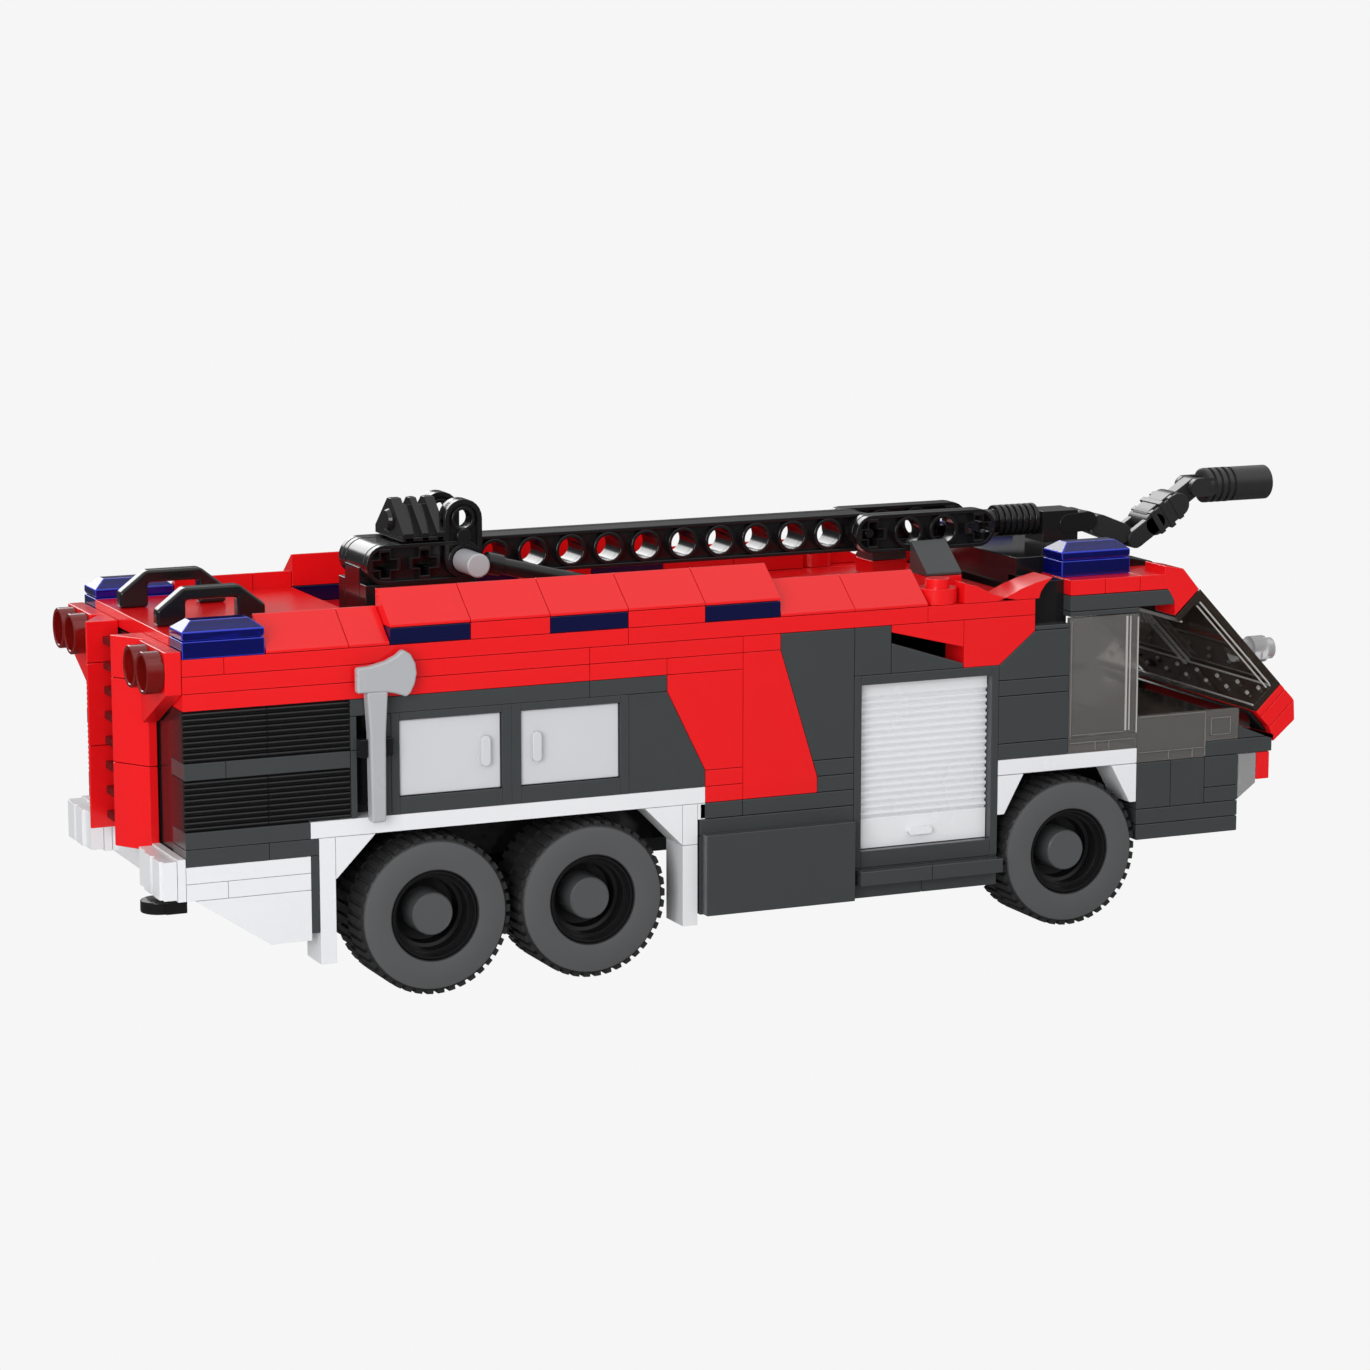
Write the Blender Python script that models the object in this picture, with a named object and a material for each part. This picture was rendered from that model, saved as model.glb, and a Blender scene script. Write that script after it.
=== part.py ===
"""Toy airport fire truck, built from bricks, plates and beams on an 8 mm stud grid.

The truck drives towards +X, its right side faces -Y and +Z is up.  The origin is on the floor
under the middle of its bounding box.  Along the truck places are counted in studs forward from
the rear face of the body, heights in plates above the lowest body plate, and depths in
millimetres inwards from a side.  build() turns all three into metres.
"""
import math

import bmesh
import bpy
from mathutils import Matrix, Vector

# ---- the grid --------------------------------------------------------------------------------
MM = 0.001
STUD = 8.0                    # stud pitch
PLATE = 3.2                   # height of one plate
PLAY = 0.3                    # gap that two neighbouring pieces keep
WALL = 1.5                    # wall of a hollow or glazed piece

# ---- overall sizes ---------------------------------------------------------------------------
BODY_WIDTH = 64.0             # 8 studs
TYRE_RADIUS = 15.2
TYRE_WIDTH = 14.0
TYRE_PROUD = 1.2              # how far a tyre stands out of the side
TYRE_HOLE = 8.6               # radius of the hole that the hub fills
AXLE_HEIGHT = -7.0            # wheel centre, below the lowest body plate
AXLE_RADIUS = 2.4
HUB_BOSS = 3.9                # radius of the round boss in the middle of the hub
AXLES = (("rear", 6.0), ("middle", 10.0), ("front", 23.0))

ROOF_DECK = 14.0              # plates, top of the deck
EDGE_REAR = 16.0              # top of the sloped roof edge over the engine
EDGE_MAIN = 17.0              # top of the sloped roof edge along the tank
TAIL_LAMP_RADIUS = 4.05
EDGE_LIP = 0.5                # upright lip at the foot of a sloped edge, millimetres

# ---- cupboard, shutter and glass -------------------------------------------------------------
CUPBOARD = (4.8, 11.2)        # studs
CUPBOARD_DEPTH = 16.6
DOOR_BAYS = (("rear", 5.18, 7.8), ("front", 8.2, 10.82))
DOOR_BOTTOM, DOOR_TOP = 4.9, 9.65
DOOR_THICK = 2.4
SHUTTER = (17.2, 20.8)
SHUTTER_BOTTOM, SHUTTER_TOP = -1.05, 9.5

# ---- windscreen and cab ----------------------------------------------------------------------
SCREEN_TOP = (26.77, 13.87)   # upper edge of the windscreen, studs and plates
SCREEN_TILT = math.radians(46.7)
SCREEN_LENGTH = 28.8
SCREEN_WALL = 1.6
CAP_DEPTH = 12.6              # how far the red roof plates reach in from each side
CAB_FOOT = ((25, -2), (28, -2), (28, 3), (29, 3), (29, 3.5), (28, 4.9), (28, 4), (27, 4),
            (27, 3), (25, 3))

# ---- boom ------------------------------------------------------------------------------------
BOOM_PIVOT = (8.0, 17.5)
BEAM_WIDTH = 7.8
BEAM_HALF = 3.9               # half the height of a beam
BEAM_HOLE = 2.45
BEAM_LAST = 19.0              # the last hole of the long beam
FORK_HOLES = (19.0, 22.0)     # first and last hole of the two short beams beside its end
STRUT_Y = -12.0
LINK_JOINT = (25.5, 17.3)
ELBOW = (26.95, 15.9)
WRIST = (28.85, 19.0)
NOZZLE_TIP = 249.0            # millimetres from the rear face
NOZZLE_RADIUS = 3.65
HINGE_RADIUS = 2.0            # round of each tongue and ear
TONGUE = 1.8                  # half the width of a tongue
REAR_OVERHANG = 7.0           # the tow hook behind the rear face

CENTRE = (NOZZLE_TIP - REAR_OVERHANG) / 2
FLOOR = TYRE_RADIUS - AXLE_HEIGHT
SIDES = (("right", -1), ("left", 1))

COLOURS = {                   # name: (red, green, blue, roughness, metallic)
    "red": (0.80, 0.01, 0.015, 0.25, 0.0),
    "dark_grey": (0.055, 0.06, 0.06, 0.3, 0.0),
    "black": (0.012, 0.012, 0.013, 0.3, 0.0),
    "white": (0.85, 0.86, 0.88, 0.3, 0.0),
    "light_grey": (0.5, 0.51, 0.53, 0.3, 0.0),
    "rubber": (0.05, 0.05, 0.052, 0.6, 0.0),
    "clear_blue": (0.02, 0.03, 0.4, 0.1, 0.0),
    "clear_red": (0.5, 0.05, 0.04, 0.1, 0.0),
    "smoke": (0.25, 0.23, 0.21, 0.1, 0.0),
    "clear": (0.8, 0.8, 0.82, 0.1, 0.0),
}


def material(colour):
    found = bpy.data.materials.get(colour)
    if found:
        return found
    made = bpy.data.materials.new(colour)
    made.use_nodes = True
    red, green, blue, rough, metal = COLOURS[colour]
    shader = made.node_tree.nodes["Principled BSDF"]
    shader.inputs["Base Color"].default_value = (red, green, blue, 1.0)
    shader.inputs["Roughness"].default_value = rough
    shader.inputs["Metallic"].default_value = metal
    return made


# ---- places ----------------------------------------------------------------------------------
def along(studs):
    """Studs from the rear face, as millimetres along X."""
    return studs * STUD - CENTRE


def up(plates):
    """Plates above the lowest body plate, as millimetres along Z."""
    return plates * PLATE + FLOOR


def xz(outline):
    """An outline in studs and plates, as millimetres."""
    return [(along(x), up(z)) for x, z in outline]


def across(side, depth):
    """Depth inwards from one side, as millimetres along Y."""
    return side * (BODY_WIDTH / 2 - depth)


# ---- outlines --------------------------------------------------------------------------------
def shrunk(outline, by):
    """The closed outline with every edge moved inwards by the same distance."""
    area = sum(a[0] * b[1] - b[0] * a[1] for a, b in zip(outline, outline[1:] + outline[:1]))
    turn = 1.0 if area > 0 else -1.0
    count = len(outline)
    result = []
    for i, here in enumerate(outline):
        here = Vector(here)
        into = (here - Vector(outline[i - 1])).normalized()
        out = (Vector(outline[(i + 1) % count]) - here).normalized()
        left_in = Vector((-into.y, into.x)) * turn
        left_out = Vector((-out.y, out.x)) * turn
        mitre = (left_in + left_out) / (1.0 + left_in.dot(left_out))
        result.append(tuple(here + mitre * by))
    return result


def box(low, high):
    return [(low[0], low[1]), (high[0], low[1]), (high[0], high[1]), (low[0], high[1])]


def circle(centre, radius, sides=24, start=0.0, end=2 * math.pi):
    """Points on an arc; a full circle leaves its last point out."""
    full = abs(end - start - 2 * math.pi) < 1e-6
    steps = sides if full else sides + 1
    turns = [start + (end - start) * i / sides for i in range(steps)]
    return [(centre[0] + radius * math.cos(t), centre[1] + radius * math.sin(t)) for t in turns]


def capsule(start, end, radius, sides=8):
    """A bar's outline with a round end about each of two points."""
    turn = math.atan2(end[1] - start[1], end[0] - start[0])
    half = math.pi / 2
    return (circle(start, radius, sides, turn + half, turn + 3 * half)
            + circle(end, radius, sides, turn - half, turn + half))


# ---- solids ----------------------------------------------------------------------------------
def to_object(mesh, name, colour):
    bmesh.ops.recalc_face_normals(mesh, faces=mesh.faces)
    data = bpy.data.meshes.new(name)
    mesh.to_mesh(data)
    mesh.free()
    data.materials.append(material(colour))
    made = bpy.data.objects.new(name, data)
    bpy.context.scene.collection.objects.link(made)
    return made


def prism(name, colour, outline, low, high, axis="y", play=PLAY / 2):
    """An outline pushed along one axis.  Along y it is (x, z), along x (y, z), along z (x, y)."""
    places = {"y": lambda a, b, t: (a, t, b), "x": lambda a, b, t: (t, a, b),
              "z": lambda a, b, t: (a, b, t)}[axis]
    low, high = min(low, high) + play, max(low, high) - play
    points = shrunk(outline, play) if play else outline
    mesh = bmesh.new()
    rings = [[mesh.verts.new([c * MM for c in places(a, b, t)]) for a, b in points]
             for t in (low, high)]
    mesh.faces.new(rings[0])
    mesh.faces.new(list(reversed(rings[1])))
    for i in range(len(points)):
        j = (i + 1) % len(points)
        mesh.faces.new((rings[0][i], rings[1][i], rings[1][j], rings[0][j]))
    return to_object(mesh, name, colour)


def lathe(name, colour, profile, centre, axis, sides=32):
    """A closed (distance, radius) profile turned about an axis through centre."""
    mesh = bmesh.new()
    toward = {"x": Matrix.Rotation(math.pi / 2, 4, "Y"), "y": Matrix.Rotation(-math.pi / 2, 4, "X"),
              "z": Matrix.Identity(4)}[axis]
    rings = []
    for i in range(sides):
        turn = 2 * math.pi * i / sides
        rings.append([mesh.verts.new((toward @ Vector((r * math.cos(turn), r * math.sin(turn), t))
                                      + Vector(centre)) * MM) for t, r in profile])
    for i in range(sides):
        for j in range(len(profile)):
            k = (j + 1) % len(profile)
            n = (i + 1) % sides
            mesh.faces.new((rings[i][j], rings[n][j], rings[n][k], rings[i][k]))
    return to_object(mesh, name, colour)


def rod(name, colour, start, end, radius, sides=12):
    """A round bar between two points in millimetres."""
    start, end = Vector(start), Vector(end)
    mesh = bmesh.new()
    bmesh.ops.create_cone(mesh, cap_ends=True, segments=sides, radius1=radius * MM,
                          radius2=radius * MM, depth=(end - start).length * MM)
    turn = (end - start).to_track_quat("Z", "Y").to_matrix().to_4x4()
    bmesh.ops.transform(mesh, matrix=Matrix.Translation((start + end) / 2 * MM) @ turn,
                        verts=mesh.verts)
    return to_object(mesh, name, colour)


def combine(target, tools, operation):
    for tool in tools:
        change = target.modifiers.new(tool.name, "BOOLEAN")
        change.operation = operation
        change.object = tool
        tool.hide_render = True
        tool.display_type = "WIRE"
    return target


def cut(target, *tools):
    return combine(target, tools, "DIFFERENCE")


def add(target, *tools):
    return combine(target, tools, "UNION")


def hang(piece, parent):
    """Parents a piece without moving it."""
    piece.parent = parent
    piece.matrix_parent_inverse = parent.matrix_world.inverted()
    return piece


def joint_frame(name, place):
    """An empty on a joint's axis."""
    empty = bpy.data.objects.new(name, None)
    empty.location = Vector(place) * MM
    bpy.context.scene.collection.objects.link(empty)
    bpy.context.view_layer.update()
    return empty


# ---- running gear ----------------------------------------------------------------------------
def chassis():
    """Long base between the wheels, a bearing block under each axle end, and the tow hook."""
    outline = box((along(3.0), across(-1, 15.0)), (along(27.0), across(1, 15.0)))
    base = prism("chassis", "black", outline, up(0.0), up(3.0), "z")
    for name, x in AXLES:
        centre = (along(x), FLOOR + AXLE_HEIGHT)
        for side_name, side in SIDES:
            block = box((centre[0] - STUD / 2, centre[1] - STUD / 2), (centre[0] + STUD / 2, up(1.0)))
            add(base, prism(f"bearing_{name}_{side_name}", "black", block,
                            across(side, 16.0), across(side, 24.0), "y", 0))
            cut(base, rod(f"bore_{name}_{side_name}", "black",
                          (centre[0], across(side, 14.0), centre[1]),
                          (centre[0], across(side, 26.0), centre[1]), AXLE_RADIUS + PLAY, 16))
    return base


def wheels():
    """Six tyres, and three axles that each carry two hubs."""
    outer = across(1, -TYRE_PROUD)
    inner = outer - TYRE_WIDTH
    tread, face, lip = TYRE_RADIUS, TYRE_RADIUS - 1.1, TYRE_HOLE
    hub = TYRE_HOLE - PLAY
    for name, x in AXLES:
        centre = (along(x), 0.0, FLOOR + AXLE_HEIGHT)
        pivot = joint_frame(f"{name}_axle_pivot", centre)
        for side_name, side in SIDES:
            tyre = [(inner, lip), (inner, face), (inner + 1.5, tread), (outer - 1.5, tread),
                    (outer, face), (outer, lip)]
            hang(lathe(f"tyre_{name}_{side_name}", "rubber", [(side * t, r) for t, r in tyre],
                       centre, "y"), pivot)
        # both hubs and the axle between them are one turned shape
        floor_in, floor_out = inner + 3.0, inner + 6.0
        half = [(inner - 0.6, AXLE_RADIUS), (inner - 0.6, HUB_BOSS), (inner + 1.0, HUB_BOSS),
                (floor_in, hub - 1.2), (inner + 1.0, hub), (outer - 1.8, hub),
                (outer - 1.8, hub - 1.2),
                (floor_out, hub - 2.2), (floor_out, HUB_BOSS), (outer - 2.4, HUB_BOSS)]
        profile = [(-t, r) for t, r in reversed(half)] + half
        hang(turned(f"{name}_axle", "black", profile, centre), pivot)


def turned(name, colour, profile, centre, axis="y", sides=24):
    """A (distance, radius) profile turned about an axis and closed by a flat cap at each end."""
    mesh = bmesh.new()
    toward = {"x": Matrix.Rotation(math.pi / 2, 4, "Y"), "y": Matrix.Rotation(-math.pi / 2, 4, "X"),
              "z": Matrix.Identity(4)}[axis]
    rings = []
    for i in range(sides):
        turn = 2 * math.pi * i / sides
        rings.append([mesh.verts.new((toward @ Vector((r * math.cos(turn), r * math.sin(turn), t))
                                      + Vector(centre)) * MM) for t, r in profile])
    for i in range(sides):
        n = (i + 1) % sides
        for j in range(len(profile) - 1):
            mesh.faces.new((rings[i][j], rings[n][j], rings[n][j + 1], rings[i][j + 1]))
    mesh.faces.new([ring[0] for ring in rings])
    mesh.faces.new([ring[-1] for ring in reversed(rings)])
    return to_object(mesh, name, colour)


# ---- body sides ------------------------------------------------------------------------------
# one row for each flat piece of a side: name, colour, depth of its outer and inner face, outline
SIDE_PIECES = (
    ("engine_wall", "dark_grey", 0.0, 8.0,
     ((0, 2), (3, 2), (3, 4), (13, 4), (13, 5), (12, 10), (12, 11), (0, 11))),
    ("upper_body", "red", 0.0, 8.0,
     ((0, 11), (12, 11), (12, 10), (13, 5), (13, 3), (16, 3), (16, 4), (15, 12), (15, 13), (18, 13),
      (18, 12.5), (20, 11.3), (20, 10), (21, 10), (22, 12), (22, 14), (0, 14))),
    ("middle_body", "dark_grey", 0.0, 8.0,
     ((12.8, -3.9), (21, -3.9), (21, 10), (20, 10), (20, 10.3), (18, 11.9), (18, 13), (15, 13),
      (15, 12), (16, 4), (16, 3), (12.8, 3))),
    ("rear_arch", "white", 0.0, 8.0,
     ((-0.2, 2.5), (-0.2, 0), (0.2, 0), (2, -3), (3.2, -3), (3.2, -4.5), (3.6, -4.5), (3.6, 0.5),
      (4.6, 3), (11.4, 3), (12.4, 0.5), (12.4, -4.5), (12.8, -4.5), (12.8, 3), (13, 3), (13, 4),
      (3, 4), (3, 2), (0, 2), (0, 2.5))),
    ("front_arch", "white", 0.0, 8.0,
     ((21, 4), (21, 0.5), (21.2, 0.5), (21.75, 3), (24.25, 3), (24.8, 0.5), (25, 0.5), (25, 4))),
    ("cab_panel", "dark_grey", 0.0, 8.0,
     ((21, 4), (23, 4), (23, 12), (22, 12), (21, 10))),
    ("side_glass", "smoke", 0.0, WALL,
     ((23, 4), (25, 4), (25, 3), (27, 3), (27, 4), (28, 4), (28, 6), (25, 6), (25, 13), (23, 13))),
)


def body_sides():
    for side_name, side in SIDES:
        made = {}
        for name, colour, outer, inner, outline in SIDE_PIECES:
            made[name] = prism(f"{name}_{side_name}", colour, xz(outline),
                               across(side, outer), across(side, inner))
        cupboard(made["engine_wall"], side_name, side)
        red_extras(made["upper_body"], side_name, side)
        lockers(made["middle_body"], side_name, side)
        marker = prism(f"marker_{side_name}", "white", box((across(side, 0.0), up(0.0)),
                       (across(side, 16.0), up(2.5))), along(0) - 4.8, along(0) - 1.2, "x")
        add(made["rear_arch"], marker)
        rear_end(side_name, side)
        beacon(f"rear_beacon_{side_name}", side, (0.0, 2.0), 0.0, ROOF_DECK)
        beacon(f"front_beacon_{side_name}", side, (23.1, 25.1), 4.2, ROOF_DECK + 1)


def cupboard(wall, side_name, side):
    """Two bays behind two doors that meet in the middle of the engine wall."""
    add(wall, prism(f"cupboard_{side_name}", "dark_grey",
                    xz(box((CUPBOARD[0], 4.0), (CUPBOARD[1], 10.5))),
                    across(side, 1.0), across(side, CUPBOARD_DEPTH)))
    for bay, start, end in DOOR_BAYS:
        cut(wall, prism(f"bay_{bay}_{side_name}", "dark_grey",
                        xz(box((start, DOOR_BOTTOM), (end, DOOR_TOP))),
                        across(side, -1.0), across(side, CUPBOARD_DEPTH - WALL), play=0))
        door(bay, start, end, side_name, side)


def door(bay, start, end, side_name, side):
    """A door whose hinge edge is round about its own axis; the bays hinge at their outer edges."""
    radius = DOOR_THICK / 2
    hinge, free = (along(start), along(end)) if bay == "rear" else (along(end), along(start))
    toward = 1 if free > hinge else -1
    axis_x = hinge + toward * (PLAY + radius)
    axis_y = across(side, PLAY + radius)
    pivot = joint_frame(f"{bay}_door_{side_name}_pivot", (axis_x, axis_y, up(DOOR_BOTTOM)))
    round_end = circle((axis_x, axis_y), radius, 8, math.pi / 2, 3 * math.pi / 2)
    if toward < 0:
        round_end = [(2 * axis_x - x, y) for x, y in round_end]
    tip = free - toward * PLAY
    outline = round_end + [(tip, axis_y - radius), (tip, axis_y + radius)]
    panel = prism(f"{bay}_door_{side_name}", "light_grey", outline, up(DOOR_BOTTOM) + PLAY,
                  up(DOOR_TOP) - PLAY, "z", 0)
    handle_x = tip - toward * 2.6
    middle = (up(DOOR_BOTTOM) + up(DOOR_TOP)) / 2
    add(panel, prism(f"{bay}_handle_{side_name}", "light_grey", box((handle_x - 0.7, middle - 2.8),
                     (handle_x + 0.7, middle + 2.8)), across(side, -1.4), across(side, 1.0), "y", 0))
    hang(panel, pivot)


def red_extras(body, side_name, side):
    """The sloped roof edge, the fairing behind the cab and the bracket of the tail lamps."""
    def slope(x_start, x_end, top, play):
        foot = up(ROOF_DECK) - 1.0
        profile = [(across(side, 0.0), foot), (across(side, 0.0), up(top - 2) + EDGE_LIP),
                   (across(side, STUD), up(top)), (across(side, STUD), foot)]
        return prism(f"edge_{x_start}_{side_name}", "red", profile, along(x_start), along(x_end),
                     "x", play)
    edges = [slope(2.0, 5.1, EDGE_REAR, 0.25), slope(5.0, 15.0, EDGE_MAIN, 0.2),
             slope(14.9, 19.0, EDGE_REAR, 0.25)]
    fairing = prism(f"fairing_{side_name}", "red",
                    xz([(19.4, 13.6), (22, 13.6), (22.6, 15.3), (22.1, 15.6), (20.6, 14.6),
                        (20.2, 15.3), (19.4, 15.3)]), across(side, 0.0), across(side, STUD), "y", 0.3)
    plate = prism(f"lamp_plate_{side_name}", "red",
                  [(across(side, 0.0), up(14.5)), (across(side, 15.8), up(14.5)),
                   (across(side, 15.8), up(9.7)), (across(side, 14.8), up(9.7)),
                   (across(side, 0.0), up(12.0))], along(0) - PLATE, along(0), "x")
    tab = prism(f"lamp_tab_{side_name}", "red",
                box((across(side, 0.5), up(12.2)), (across(side, 7.5), up(13.8))),
                along(0) - 1.0, along(0) + 1.0, "x", 0)
    add(body, *edges, fairing, plate, tab)


def lockers(body, side_name, side):
    """The flat locker lid and the shutter's step stand out of the side; the shutter fills its bay."""
    lid = prism(f"locker_{side_name}", "dark_grey", xz(box((12.85, -3.8), (16.85, 1.2))),
                across(side, -PLATE), across(side, 0.6), "y", 0)
    step = prism(f"step_{side_name}", "dark_grey", xz(box((17.0, -3.0), (21.0, -2.0))),
                 across(side, -PLATE), across(side, 0.6))
    add(body, lid, step)
    cut(body, prism(f"shutter_bay_{side_name}", "dark_grey",
                    xz(box((SHUTTER[0], SHUTTER_BOTTOM), (SHUTTER[1], SHUTTER_TOP))),
                    across(side, -4.0), across(side, 9.0), play=0))
    prism(f"shutter_{side_name}", "white",
          xz(box((SHUTTER[0], SHUTTER_BOTTOM), (SHUTTER[1], SHUTTER_TOP))),
          across(side, 1.6), across(side, 4.4), "y", PLAY)


def rear_end(side_name, side):
    """One upright rear column and a pair of round tail lamps."""
    column = [(along(0), across(side, 16.0)), (along(0) - 1.9, across(side, 16.0)),
              (along(0) - 6.4, across(side, 24.0)), (along(0), across(side, 24.0))]
    prism(f"rear_column_{side_name}", "red", column, up(2.0), up(14.5), "z")
    height = up(13.2)
    lamps = [rod(name, "clear_red", (along(0) - 6.4, across(side, depth), height),
                 (along(0) - 3.5, across(side, depth), height), TAIL_LAMP_RADIUS, 24)
             for name, depth in ((f"tail_lamps_{side_name}", 4.0), (f"inner_lamp_{side_name}", 12.0))]
    add(lamps[0], lamps[1])


def beacon(name, side, span, depth, base):
    """A blue plate with a bevelled dome on it."""
    low, high = across(side, depth), across(side, depth + STUD)
    start, end = along(span[0]), along(span[1])
    shoulder, top, bevel = up(base + 1.7), up(base + 2.4), 2.2
    prism(name, "clear_blue", [(start, up(base)), (end, up(base)), (end, shoulder), (end - bevel, top),
                               (start + bevel, top), (start, shoulder)], low, high)


# ---- body middle -----------------------------------------------------------------------------
def body_middle():
    half = BODY_WIDTH / 2
    inner = half - STUD
    wall = prism("rear_wall", "black", box((-inner, up(2)), (inner, up(14))), along(0), along(1), "x")
    for n in range(8):
        bottom = 2.6 + 1.5 * n
        add(wall, prism(f"rung_{n}", "black",
                        box((along(0) - 3.4, up(bottom)), (along(0) + 1.0, up(bottom + 0.5))),
                        -7.4, 7.4, "y", 0))
    prism("rear_sill", "white", xz([(0, 2), (0, 0), (0.2, 0), (2, -3), (2.9, -3), (2.9, 2)]),
          -inner, inner)
    deck = prism("roof_deck", "red",
                 xz([(0, 14), (1, 14), (1, 13), (22, 13), (22, 14), (5, 14), (5, 15), (0, 15)]),
                 -inner, inner)
    for side_name, side in SIDES:
        low, high = side * (STUD + PLAY), side * 2 * STUD
        cradle = [(low, up(13.6)), (low, up(17)), (high, up(15.2)), (high, up(13.6))]
        add(deck, prism(f"cradle_{side_name}", "red", cradle, along(20), along(21), "x", 0))
    prism("tow_hook", "black",
          box((along(0) - REAR_OVERHANG, across(-1, 2.0)), (along(0.1), across(-1, 10.0))),
          up(-0.85), up(0), "z", PLAY / 2)
    for side_name, side in SIDES:
        prism(f"roof_handle_{side_name}", "black",
              xz([(0.2, 15), (0.9, 15), (0.9, 15.9), (1.1, 16.4), (1.9, 16.4), (2.1, 15.9), (2.1, 15),
                  (2.8, 15), (2.8, 16.1), (2.2, 17.2), (0.8, 17.2), (0.2, 16.1)]),
              across(side, 18.4), across(side, 21.6))
    axe()


def axe():
    """Fire axe clipped to the right side."""
    head = xz([(4.1, 13.1), (4.9, 13.1), (5.4, 13.9), (5.6, 12.6), (5.4, 10.9), (4.8, 12.0), (4.75, 3.8),
               (4.35, 3.8), (4.3, 12.0), (4.1, 12.0)])
    prism("axe", "light_grey", head, across(-1, -3.4), across(-1, 0.0))


# ---- cab -------------------------------------------------------------------------------------
def on_screen(down, back):
    """A point so far down the windscreen's slope and so far behind its face."""
    x, z = along(SCREEN_TOP[0]), up(SCREEN_TOP[1])
    return (x + down * math.cos(SCREEN_TILT) - back * math.sin(SCREEN_TILT),
            z - down * math.sin(SCREEN_TILT) - back * math.cos(SCREEN_TILT))


def cab():
    half = BODY_WIDTH / 2
    inner = half - STUD
    last = SCREEN_LENGTH
    wall = SCREEN_WALL
    screen = [on_screen(*p) for p in ((0, 0), (last, 0), (last, STUD), (last - wall, STUD),
                                      (last - wall, wall), (wall, wall), (wall, STUD), (0, STUD))]
    prism("windscreen", "smoke", screen, -half, half)
    nose_end = last + 1.5 * PLATE
    prism("nose", "red", [on_screen(last, 0), on_screen(nose_end, 0), (along(29.68), up(4.9)),
                          (along(29.05), up(3.6)), on_screen(nose_end, STUD), on_screen(last, STUD)],
          -half, half)
    front = prism("cab_front", "dark_grey", xz(box((27, -2), (28, 4.8))), -inner - 1.0, inner + 1.0)
    for side_name, side in SIDES:
        add(front, prism(f"cab_foot_{side_name}", "dark_grey", xz(CAB_FOOT), across(side, 0.0),
                         across(side, STUD)))
    prism("headlamps", "clear", xz([(28, 3), (28.55, 3), (28.55, 1), (28, 0)]), -half, half)
    prism("bumper", "red", xz(box((28.55, 1.2), (28.95, 3))), -half, half)
    floor = prism("cab_floor", "black",
                  xz([(21, 3), (26.9, 3), (26.9, 4), (21.5, 4), (21.5, 12.8), (21, 12.8)]), -inner, inner)
    for side_name, side in SIDES:
        add(floor, prism(f"seat_{side_name}", "black",
                         xz([(22.2, 3.5), (24.4, 3.5), (24.4, 6), (23, 6.2), (22.8, 9.5), (22.2, 9.5)]),
                         across(side, 12.0), across(side, 26.0)))
        cap = prism(f"cab_cap_{side_name}", "red", xz(box((22.7, 14), (26, 15))), across(side, 0.0),
                    across(side, CAP_DEPTH))
        add(cap, prism(f"visor_{side_name}", "red",
                       xz([(25.6, 14.1), (26.1, 14.1), (26.1, 12.3), (26.77, 13.87), (26.25, 15.25),
                           (25.6, 15.5)]), across(side, 0.0), across(side, STUD), "y", 0.2))
    roof = prism("cab_roof", "black", xz([(22.3, 13.1), (23, 13.1), (23, 13), (26, 13), (26, 14), (26, 15.2),
                 (24.6, 16), (22.3, 16)]), -(half - CAP_DEPTH), half - CAP_DEPTH)
    for side_name, side in SIDES:
        add(roof, prism(f"roof_band_{side_name}", "black", xz(box((23, 13), (26, 14))), across(side, 0.0),
                        across(side, CAP_DEPTH + 1.0), "y", 0.15))


# ---- boom ------------------------------------------------------------------------------------
def beam(name, first, last, low, high, holes):
    """A straight beam with round ends and a row of round holes."""
    z = up(BOOM_PIVOT[1])
    outline = capsule((along(first), z), (along(last), z), BEAM_HALF, 8)
    made = prism(name, "black", outline, low, high, "y", 0)
    for n in holes:
        cut(made, rod(f"{name}_hole_{n}", "black", (along(n), low - 1.0, z),
                      (along(n), high + 1.0, z), BEAM_HOLE, 16))
    return made


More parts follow.
